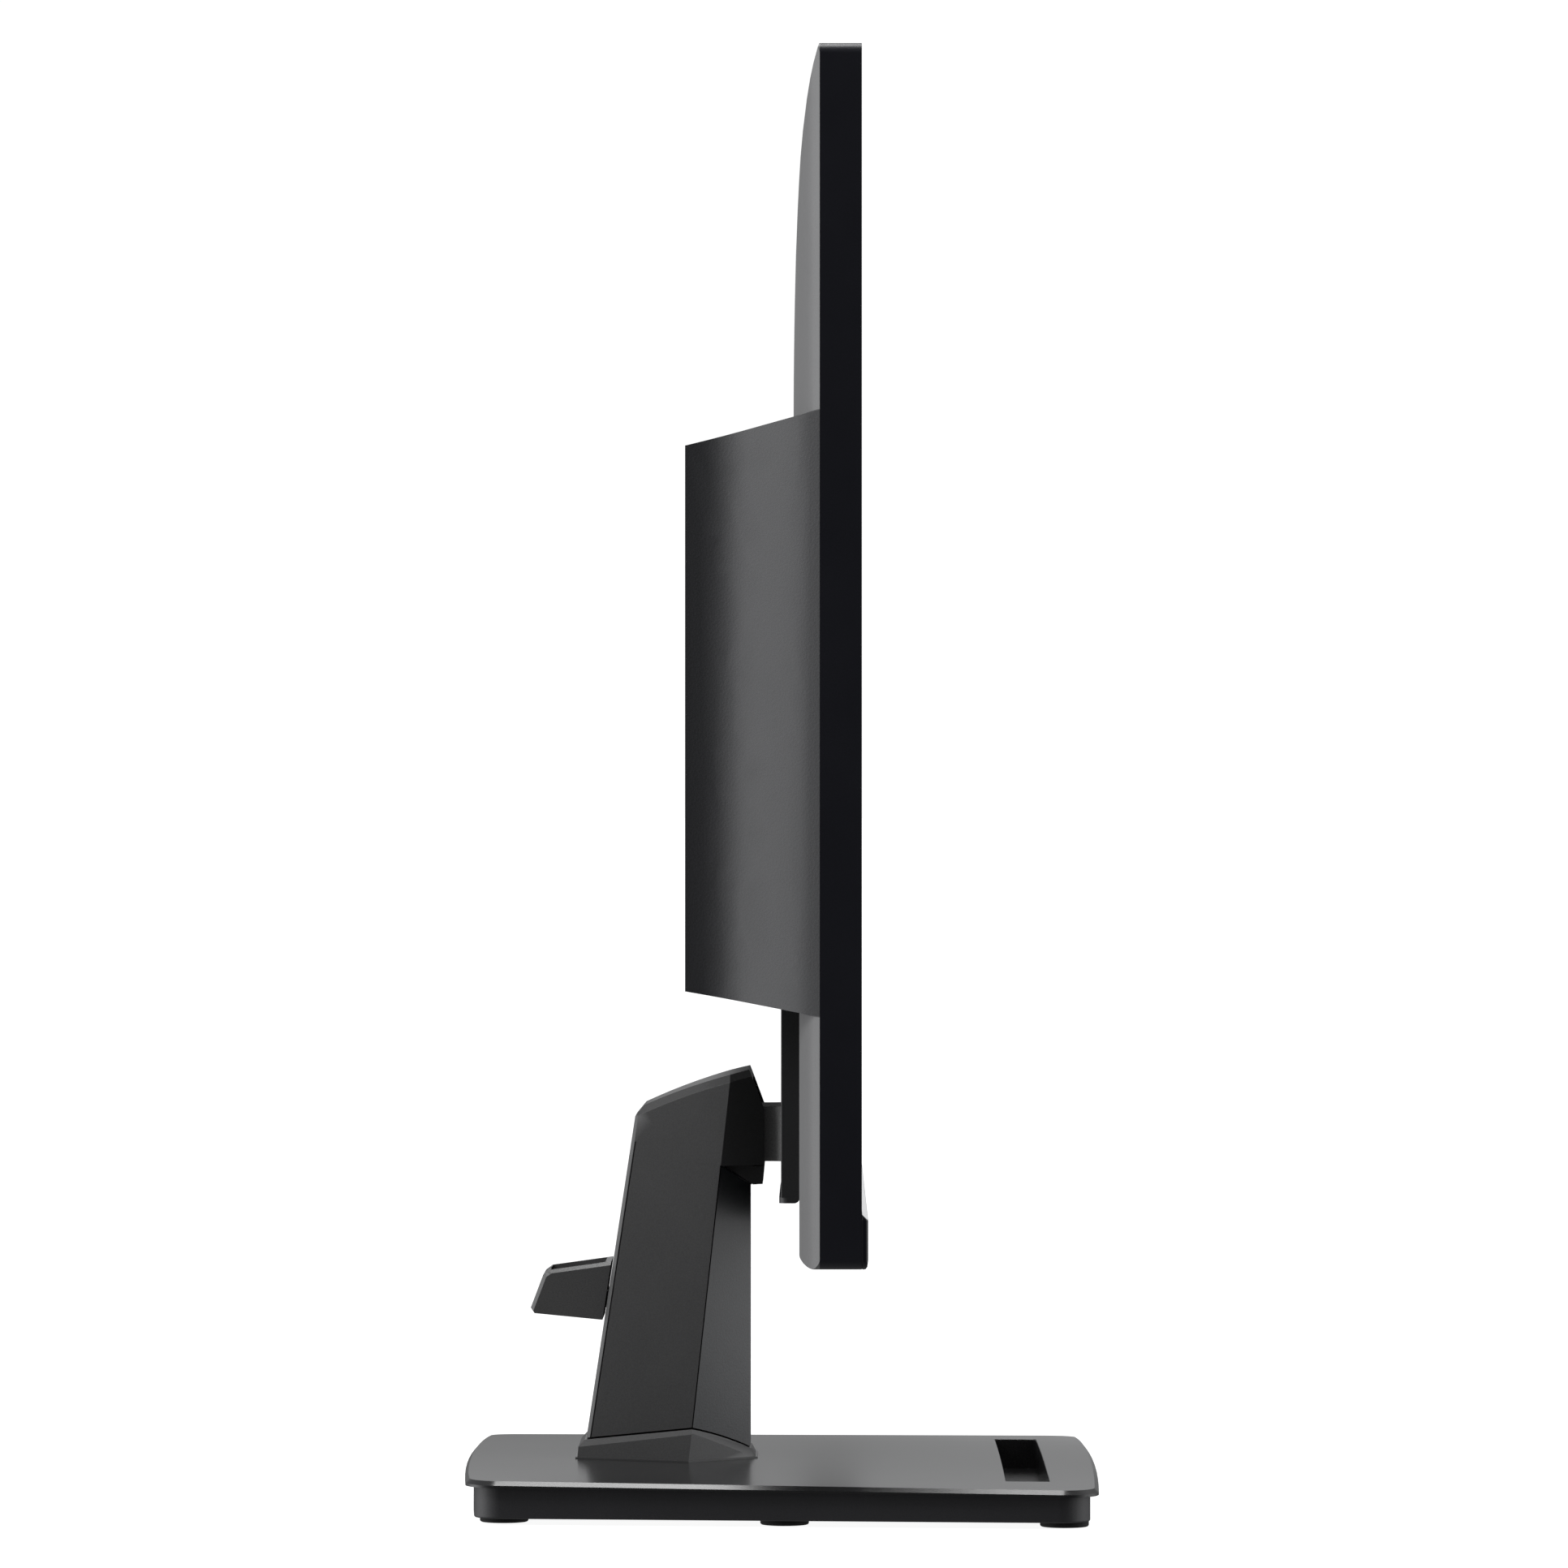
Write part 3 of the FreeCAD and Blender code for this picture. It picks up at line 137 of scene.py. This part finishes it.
def bump(nt, bsdf, height, strength, dist):
    n = nt.nodes.new("ShaderNodeBump")
    n.inputs["Strength"].default_value = strength
    n.inputs["Distance"].default_value = dist
    nt.links.new(height, n.inputs["Height"])
    nt.links.new(n.outputs["Normal"], bsdf.inputs["Normal"])
    return n


def lin(c):
    """sRGB 0..255 to linear."""
    out = []
    for v in c:
        v = v / 255.0
        out.append(v / 12.92 if v <= 0.04045 else ((v + 0.055) / 1.055) ** 2.4)
    return tuple(out)


def textured_plastic(name, rgb, rough=0.55, grain=2600.0, bump_s=0.25, bump_d=0.00006, var=0.10, coat=0.0, spec=0.5, rough_var=0.02):
    """Moulded plastic with a spark-eroded texture: fine grain in relief and slight blotches of tone and gloss."""
    m, nt, b = new_mat(name)
    v = coords(nt)
    fine = noise_tex(nt, v, grain, 2.0, 0.6)
    cell = voronoi(nt, v, grain * 0.55)
    blot = noise_tex(nt, v, 38.0, 3.0, 0.55)
    base = mix_rgb(nt, remap(nt, blot, 0.3, 0.7, 0.0, 1.0), tuple(x * (1 - var) for x in rgb), tuple(x * (1 + var) for x in rgb))
    speck = mix_rgb(nt, remap(nt, fine, 0.35, 0.65, 0.0, 1.0), (0.84, 0.84, 0.84), (1.16, 1.16, 1.16))
    mul = nt.nodes.new("ShaderNodeMix")
    mul.data_type = "RGBA"
    mul.blend_type = "MULTIPLY"
    mul.inputs[0].default_value = 1.0
    nt.links.new(base, mul.inputs[6])
    nt.links.new(speck, mul.inputs[7])
    nt.links.new(mul.outputs[2], b.inputs["Base Color"])
    r = remap(nt, blot, 0.3, 0.7, rough - rough_var, rough + rough_var)
    nt.links.new(r, b.inputs["Roughness"])
    h = math_node(nt, "ADD", math_node(nt, "MULTIPLY", fine, 0.6), math_node(nt, "MULTIPLY", cell, 0.5))
    bump(nt, b, h, bump_s, bump_d)
    b.inputs["Specular IOR Level"].default_value = spec
    b.inputs["Coat Weight"].default_value = coat
    b.inputs["Coat Roughness"].default_value = 0.25
    return m


def screen_mat(name):
    """Anti-glare polariser: the picture area is a trace lighter and bluer than the black border printed round it."""
    m, nt, b = new_mat(name)
    v = coords(nt)
    sep = nt.nodes.new("ShaderNodeSeparateXYZ")
    nt.links.new(v, sep.inputs[0])
    lo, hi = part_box("lcd_glass")
    cx, cz = (lo[0] + hi[0]) / 2, (lo[2] + hi[2]) / 2
    hx = (hi[0] - lo[0]) / 2 - 0.0062
    z0, z1 = 0.1092, hi[2] - 0.0062
    ax = math_node(nt, "ABSOLUTE", math_node(nt, "SUBTRACT", sep.outputs["X"], cx))
    inx = math_node(nt, "LESS_THAN", ax, hx)
    inz = math_node(nt, "MULTIPLY", math_node(nt, "GREATER_THAN", sep.outputs["Z"], z0), math_node(nt, "LESS_THAN", sep.outputs["Z"], z1))
    area_ = math_node(nt, "MULTIPLY", inx, inz)
    fine = noise_tex(nt, v, 5200.0, 2.0, 0.6)
    slow = noise_tex(nt, v, 3.2, 2.0, 0.5)
    face = mix_rgb(nt, slow, (0.0058, 0.0062, 0.0074), (0.0074, 0.0079, 0.0092))
    nt.links.new(mix_rgb(nt, area_, (0.0024, 0.0024, 0.0027), face), b.inputs["Base Color"])
    nt.links.new(remap(nt, fine, 0.3, 0.7, 0.27, 0.33), b.inputs["Roughness"])
    b.inputs["Specular IOR Level"].default_value = 0.30
    bump(nt, b, fine, 0.10, 0.00002)
    return m


def chin_mat(name):
    """Bottom bezel: the same moulded black plastic, with a polished ledge along its top where it meets the screen."""
    m = textured_plastic(name, (0.0036, 0.0037, 0.0066), 0.28, 2600.0, 0.10, 0.00004, 0.04, spec=0.30)
    nt = m.node_tree
    b = next(n for n in nt.nodes if n.type == "BSDF_PRINCIPLED")
    sep = nt.nodes.new("ShaderNodeSeparateXYZ")
    nt.links.new(coords(nt), sep.inputs[0])
    ledge = math_node(nt, "GREATER_THAN", sep.outputs["Z"], 0.10695)
    nt.links.new(math_node(nt, "SUBTRACT", 0.28, math_node(nt, "MULTIPLY", ledge, 0.20)), b.inputs["Roughness"])
    nt.links.new(math_node(nt, "ADD", 0.30, math_node(nt, "MULTIPLY", ledge, 0.50)), b.inputs["Specular IOR Level"])
    return m


def back_mat(name):
    """Rear cover: a smooth satin back, and a darker spark-eroded grain over the electronics housing (between its sloping top and bottom faces)."""
    m, nt, b = new_mat(name)
    v = coords(nt)
    sep = nt.nodes.new("ShaderNodeSeparateXYZ")
    nt.links.new(v, sep.inputs[0])
    run = math_node(nt, "ADD", sep.outputs["Y"], 0.0126)
    top = math_node(nt, "SUBTRACT", 0.34758, math_node(nt, "MULTIPLY", run, 0.2407))
    low = math_node(nt, "ADD", 0.16702, math_node(nt, "MULTIPLY", run, 0.1712))
    zone = math_node(nt, "MULTIPLY", math_node(nt, "LESS_THAN", sep.outputs["Z"], top), math_node(nt, "GREATER_THAN", sep.outputs["Z"], low))
    fine = noise_tex(nt, v, 2100.0, 2.0, 0.6)
    cell = voronoi(nt, v, 1250.0)
    blot = noise_tex(nt, v, 30.0, 3.0, 0.55)
    tone = remap(nt, blot, 0.3, 0.7, 0.98, 1.02)
    smooth = mix_rgb(nt, zone, (0.105, 0.105, 0.1065), (0.0118, 0.0121, 0.0142))
    speck = mix_rgb(nt, remap(nt, fine, 0.35, 0.65, 0.0, 1.0), (0.80, 0.80, 0.80), (1.20, 1.20, 1.20))
    mul = nt.nodes.new("ShaderNodeMix")
    mul.data_type = "RGBA"
    mul.blend_type = "MULTIPLY"
    nt.links.new(math_node(nt, "ADD", 0.25, math_node(nt, "MULTIPLY", zone, 0.75)), mul.inputs[0])
    nt.links.new(smooth, mul.inputs[6])
    nt.links.new(speck, mul.inputs[7])
    hsv = nt.nodes.new("ShaderNodeHueSaturation")
    nt.links.new(mul.outputs[2], hsv.inputs["Color"])
    nt.links.new(tone, hsv.inputs["Value"])
    nt.links.new(hsv.outputs["Color"], b.inputs["Base Color"])
    nt.links.new(math_node(nt, "ADD", 0.42, math_node(nt, "MULTIPLY", zone, 0.00)), b.inputs["Roughness"])
    h = math_node(nt, "ADD", math_node(nt, "MULTIPLY", fine, 0.6), math_node(nt, "MULTIPLY", cell, 0.5))
    h = math_node(nt, "MULTIPLY", h, math_node(nt, "ADD", 0.12, math_node(nt, "MULTIPLY", zone, 0.88)))
    bump(nt, b, h, 0.35, 0.00010)
    b.inputs["Specular IOR Level"].default_value = 0.5
    return m


def metal(name, rgb, rough=0.3, aniso=True, scale=(60, 60, 2400), metallic=1.0):
    m, nt, b = new_mat(name)
    v = coords(nt, tuple(s / 60.0 for s in scale))
    streak = noise_tex(nt, v, 60.0, 4.0, 0.6)
    blot = noise_tex(nt, coords(nt), 70.0, 3.0, 0.5)
    c = mix_rgb(nt, remap(nt, streak, 0.3, 0.7, 0.0, 1.0), tuple(x * 0.85 for x in rgb), tuple(min(1.0, x * 1.1) for x in rgb))
    nt.links.new(c, b.inputs["Base Color"])
    b.inputs["Metallic"].default_value = metallic
    nt.links.new(remap(nt, blot, 0.3, 0.7, rough - 0.07, rough + 0.07), b.inputs["Roughness"])
    bump(nt, b, streak, 0.12, 0.00004)
    return m


def board_mat(name):
    """Solder mask over copper tracks: a grid-like pattern in two tones, with pads."""
    m, nt, b = new_mat(name)
    v = coords(nt)
    br = nt.nodes.new("ShaderNodeTexBrick")
    br.inputs["Scale"].default_value = 190.0
    br.inputs["Mortar Size"].default_value = 0.05
    br.inputs["Color1"].default_value = (0.012, 0.085, 0.030, 1)
    br.inputs["Color2"].default_value = (0.018, 0.125, 0.045, 1)
    br.inputs["Mortar"].default_value = (0.035, 0.20, 0.075, 1)
    nt.links.new(v, br.inputs["Vector"])
    pad = remap(nt, voronoi(nt, v, 420.0), 0.10, 0.16, 1.0, 0.0)
    c = mix_rgb(nt, math_node(nt, "MULTIPLY", pad, 0.7), br.outputs["Color"], (0.55, 0.53, 0.46))
    nt.links.new(c, b.inputs["Base Color"])
    nt.links.new(remap(nt, noise_tex(nt, v, 90.0), 0.3, 0.7, 0.25, 0.4), b.inputs["Roughness"])
    bump(nt, b, br.outputs["Fac"], 0.2, 0.0001)
    return m


def sheet_mat(name, rgb, rough, spec=0.5, var=0.03, alpha_noise=600.0):
    m, nt, b = new_mat(name)
    v = coords(nt)
    n = noise_tex(nt, v, alpha_noise, 3.0, 0.6)
    c = mix_rgb(nt, n, tuple(x * (1 - var) for x in rgb), tuple(min(1.0, x * (1 + var)) for x in rgb))
    nt.links.new(c, b.inputs["Base Color"])
    nt.links.new(remap(nt, n, 0.3, 0.7, rough - 0.04, rough + 0.04), b.inputs["Roughness"])
    b.inputs["Specular IOR Level"].default_value = spec
    bump(nt, b, n, 0.06, 0.00003)
    return m


M = {}
M["frame"] = textured_plastic("frame_plastic", (0.0052, 0.0054, 0.0092), 0.42, 2600.0, 0.16, 0.00005, 0.04, spec=0.32)
M["chin"] = chin_mat("chin_plastic")
M["back"] = back_mat("back_plastic")
M["stand"] = textured_plastic("stand_plastic", (0.0295, 0.0295, 0.0300), 0.38, 2400.0, 0.28, 0.00007, 0.03)
M["neck_cover"] = textured_plastic("neck_cover_plastic", (0.0300, 0.0315, 0.0345), 0.38, 2200.0, 0.34, 0.00009, 0.03)
# Cable clip: the stand's plastic painted about twice as light, as painted light. It makes up for the light the clip's
# shaded side face does not get.
M["clip"] = textured_plastic("clip_plastic_painted_light", (0.0660, 0.0660, 0.0665), 0.40, 2400.0, 0.28, 0.00007, 0.03)
M["cowl"] = textured_plastic("cowl_plastic", (0.2500, 0.2500, 0.2500), 0.42, 2400.0, 0.22, 0.00006, 0.03, spec=0.4)
M["black"] = textured_plastic("black_plastic", (0.0125, 0.0125, 0.0135), 0.46, 2600.0, 0.22, 0.00006, 0.04)
M["base"] = textured_plastic("base_plastic", (0.012, 0.012, 0.0125), 0.20, 2500.0, 0.07, 0.00003, 0.02, rough_var=0.006)
M["pan"] = textured_plastic("pan_plastic", (0.0150, 0.0148, 0.0170), 0.50, 2400.0, 0.25, 0.00007, 0.04)
M["rubber"] = textured_plastic("foot_rubber", lin((26, 26, 26)), 0.80, 1500.0, 0.35, 0.00010, 0.12, spec=0.3)
M["key"] = textured_plastic("key_plastic", lin((34, 34, 37)), 0.42, 2600.0, 0.15, 0.00004, 0.05)
M["glass"] = screen_mat("screen_glass")
M["film"] = sheet_mat("white_film", (0.80, 0.82, 0.84), 0.45)
M["acrylic"] = sheet_mat("clear_acrylic", (0.72, 0.80, 0.80), 0.12)
M["reflector"] = sheet_mat("white_reflector", (0.90, 0.90, 0.90), 0.25)
M["tray"] = metal("tray_metal", (0.60, 0.60, 0.59), 0.38, True, (2400, 60, 60))
M["steel"] = metal("steel", (0.50, 0.50, 0.49), 0.34, True, (60, 2400, 60))
M["zinc"] = metal("zinc_steel", (0.17, 0.17, 0.175), 0.42, True, (900, 900, 900))
M["dark_steel"] = textured_plastic("dark_steel", lin((42, 42, 44)), 0.42, 1500.0, 0.35, 0.00010, 0.10)
M["screw"] = metal("screw_steel", (0.12, 0.12, 0.125), 0.36, True, (900, 900, 900))
M["board"] = board_mat("board_green")
M["led"] = sheet_mat("led_board", (0.78, 0.78, 0.73), 0.35)
M["socket"] = metal("socket_metal", (0.62, 0.62, 0.61), 0.22, True, (60, 60, 1500))
M["tongue"] = textured_plastic("tongue_plastic", lin((30, 30, 30)), 0.4, 1800.0, 0.1, 0.00003, 0.05)
M["brass"] = metal("pin_brass", (0.72, 0.66, 0.45), 0.25, True, (60, 60, 1500))
M["ribbon"] = sheet_mat("ribbon_film", (0.62, 0.60, 0.54), 0.4)
M["lens"] = sheet_mat("lens_plastic", (0.42, 0.44, 0.47), 0.25)
M["label"] = sheet_mat("label_film", lin((46, 46, 48)), 0.32, 0.5, 0.05, 1500.0)

SLOTS = {
    "frame_plastic": "frame", "chin_plastic": "chin", "back_plastic": "back", "stand_plastic": "stand", "black_plastic": "black",
    "base_plastic": "base", "pan_plastic": "pan", "foot_rubber": "rubber", "key_plastic": "key", "screen_glass": "glass", "white_film": "film",
    "clear_acrylic": "acrylic", "white_reflector": "reflector", "tray_metal": "tray", "steel": "steel", "dark_steel": "dark_steel",
    "screw_steel": "screw", "board_green": "board", "led_board": "led", "socket_metal": "socket", "tongue_plastic": "tongue",
    "pin_brass": "brass", "ribbon_film": "ribbon", "lens_plastic": "lens", "label_film": "label",
}


# ------------------------------------------------------------------ CAD nodes: finer looks
def even_lip(bm):
    """The bevel along the base's long edges, made one even width: the CAD's own bevel narrows by 0.4 mm near the rear."""
    c = 0.00135
    for v in bm.verts:
        x, y, z = abs(v.co.x), v.co.y, v.co.z
        side = 0.124 - 0.0919483 * (y + 0.101)
        top = lambda q: 0.01476 + 0.00712 * y - q * q / 9.1228
        if not (-0.0889 < y < 0.0902) or side - x > 0.0018 or z < top(side) - 0.0018:
            continue
        s = 1.0 if v.co.x > 0 else -1.0
        if side - x < 0.0002:
            v.co.z = top(side) - c
        else:
            v.co.x = s * (side - c)
            v.co.z = top(side - c)


def polish(node, width, angle=32.0, segs=2, mat=None, prepare=None):
    """The node's own shape with its hard edges slightly rounded, as moulded or machined edges are."""
    src = frame["nodes"][node]
    bm = bmesh.new()
    bm.from_mesh(src.data)
    bmesh.ops.remove_doubles(bm, verts=bm.verts, dist=3e-6)
    if prepare:
        prepare(bm)
    bmesh.ops.dissolve_limit(bm, angle_limit=math.radians(0.05), use_dissolve_boundaries=False, verts=bm.verts, edges=bm.edges)
    for f in bm.faces:
        f.smooth = True
    lim = math.radians(24.0)
    for e in bm.edges:
        if len(e.link_faces) == 2:
            e.smooth = e.calc_face_angle(0.0) < lim
        else:
            e.smooth = False
    me = bpy.data.meshes.new(node + "_skin")
    bm.to_mesh(me)
    bm.free()
    o = bpy.data.objects.new(node + "_skin", me)
    bpy.context.scene.collection.objects.link(o)
    me.materials.append(mat or M["black"])
    if width > 0:
        b = o.modifiers.new("edge", "BEVEL")
        b.width = width
        b.segments = segs
        b.limit_method = "ANGLE"
        b.angle_limit = math.radians(angle)
        b.use_clamp_overlap = True
        b.harden_normals = False
        b.miter_outer = "MITER_ARC"
    w = o.modifiers.new("normals", "WEIGHTED_NORMAL")
    w.mode = "FACE_AREA"
    w.weight = 50
    w.keep_sharp = False
    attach(o, src["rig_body"])
    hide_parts(node)
    return o


node_slot = {}
for sp in frame["record"]["subparts"]:
    node_slot[sp["node"]] = sp["material_slot"]
for n, o in frame["nodes"].items():
    o.data.materials.clear()
    o.data.materials.append(M["zinc" if n == "mount_frame" else SLOTS[node_slot[n]]])

POLISH = {
    "neck_shell": 0.0005, "neck_front": 0.0005, "neck_collar": 0.0003, "cable_clip": 0.0003, "hinge_cowl": 0.0004,
    "bracket_cover": 0.0003, "base_cover": 0.0002, "base_pan": 0.0003, "front_chin": 0.0003, "mid_frame": 0.0004,
}
OWN = {"neck_front": "neck_cover", "cable_clip": "clip", "hinge_cowl": "cowl"}
for n, w in POLISH.items():
    p = polish(n, w, mat=M[OWN.get(n, SLOTS[node_slot[n]])], prepare=even_lip if n == "base_cover" else None)


# ------------------------------------------------------------------ studio
scene = bpy.context.scene
scene.view_settings.view_transform = "Standard"
scene.view_settings.look = "None"
scene.view_settings.exposure = 0.0
scene.view_settings.gamma = 1.0

world = bpy.data.worlds.new("studio")
scene.world = world
world.use_nodes = True
wt = world.node_tree
wt.nodes.clear()
w_out = wt.nodes.new("ShaderNodeOutputWorld")
w_tc = wt.nodes.new("ShaderNodeTexCoord")
w_sep = wt.nodes.new("ShaderNodeSeparateXYZ")
wt.links.new(w_tc.outputs["Generated"], w_sep.inputs[0])


def lobe(aim, power, strength):
    """Soft light from one side of the studio: strength times the direction's component along the aim, to a power."""
    d = Vector(aim).normalized()
    c = None
    for axis, v in zip("XYZ", d):
        if abs(v) > 1e-6:
            t = math_node(wt, "MULTIPLY", w_sep.outputs[axis], float(v))
            c = t if c is None else math_node(wt, "ADD", c, t)
    c = math_node(wt, "MAXIMUM", c, 0.0)
    c = math_node(wt, "POWER", c, float(power))
    return math_node(wt, "MULTIPLY", c, float(strength))


LOBES = [((0, 1, 0.06), 8.0, 2.7), ((0, 1, 0), 2.0, 0.40), ((0, -0.95, 0.28), 5.0, 2.3), ((0.90, 0, 0.43), 40.0, 1.40), ((0, 0, 1), 2.0, 0.30),
         ((1, 0, 0), 2.0, 0.12), ((0, 0, -1), 2.0, 0.32), ((1, -0.045, -0.01), 1200.0, 0.8)]
FILL = 0.07
total = None
for aim, power, strength in LOBES:
    part = lobe(aim, power, strength)
    total = part if total is None else math_node(wt, "ADD", total, part)
total = math_node(wt, "ADD", total, FILL)
w_studio = wt.nodes.new("ShaderNodeBackground")
wt.links.new(total, w_studio.inputs["Strength"])
w_studio.inputs["Color"].default_value = (0.985, 0.99, 1.0, 1.0)
w_white = wt.nodes.new("ShaderNodeBackground")
w_white.inputs["Color"].default_value = (1.0, 1.0, 1.0, 1.0)
w_white.inputs["Strength"].default_value = 1.02
w_lp = wt.nodes.new("ShaderNodeLightPath")
w_mix = wt.nodes.new("ShaderNodeMixShader")
wt.links.new(w_lp.outputs["Is Camera Ray"], w_mix.inputs[0])
wt.links.new(w_studio.outputs[0], w_mix.inputs[1])
wt.links.new(w_white.outputs[0], w_mix.inputs[2])
wt.links.new(w_mix.outputs[0], w_out.inputs["Surface"])


def quad(name, pts, mat):
    me = bpy.data.meshes.new(name)
    me.from_pydata([Vector(p) for p in pts], [], [(0, 1, 2, 3)])
    me.materials.append(mat)
    o = bpy.data.objects.new(name, me)
    scene.collection.objects.link(o)
    return o


def stage_mat(name, rgb, emit, rough=0.9):
    m, nt, b = new_mat(name)
    v = coords(nt)
    n = noise_tex(nt, v, 3.0, 2.0, 0.5)
    nt.links.new(mix_rgb(nt, n, tuple(x * 0.985 for x in rgb), rgb), b.inputs["Base Color"])
    b.inputs["Roughness"].default_value = rough
    b.inputs["Specular IOR Level"].default_value = 0.0
    b.inputs["Emission Color"].default_value = (1, 1, 1, 1)
    b.inputs["Emission Strength"].default_value = emit
    return m


floor = quad("floor", [(-60, -60, 0), (60, -60, 0), (60, 60, 0), (-60, 60, 0)], stage_mat("floor_white", (0.30, 0.30, 0.30), 0.93))
floor.visible_diffuse = False
floor.visible_glossy = False
floor.visible_shadow = False


def area(name, loc, target, size, power, color=(1, 1, 1)):
    d = bpy.data.lights.new(name, "AREA")
    d.shape = "RECTANGLE"
    d.size, d.size_y = size
    d.energy = power
    d.color = color
    o = bpy.data.objects.new(name, d)
    scene.collection.objects.link(o)
    o.location = loc
    o.rotation_euler = (Vector(target) - Vector(loc)).to_track_quat("-Z", "Y").to_euler()
    o.visible_camera = False
    return o


area("soft_rear_high", (-0.55, 0.95, 1.0), (-0.29, 0, 0.42), (0.5, 0.5), 9.0)
area("overhead", (0.06, 0.0, 1.45), (-0.06, 0.0, 0.1), (0.5, 0.34), 7.5)
area("edge_strip", (-0.28, 0.15, 1.45), (-0.115, 0.0, 0.013), (0.34, 0.40), 5.2)

cam_d = bpy.data.cameras.new("camera")
cam_d.sensor_width = 36.0
cam_d.lens = 208.62
cam_d.shift_x = -0.02277
cam_d.shift_y = 0.0
cam_d.clip_start = 0.1
cam_d.clip_end = 200.0
cam = bpy.data.objects.new("camera", cam_d)
scene.collection.objects.link(cam)
cam.location = (-3.0, -0.0126, 0.2363)
cam.rotation_euler = (math.radians(90), 0, math.radians(-90))
scene.camera = cam
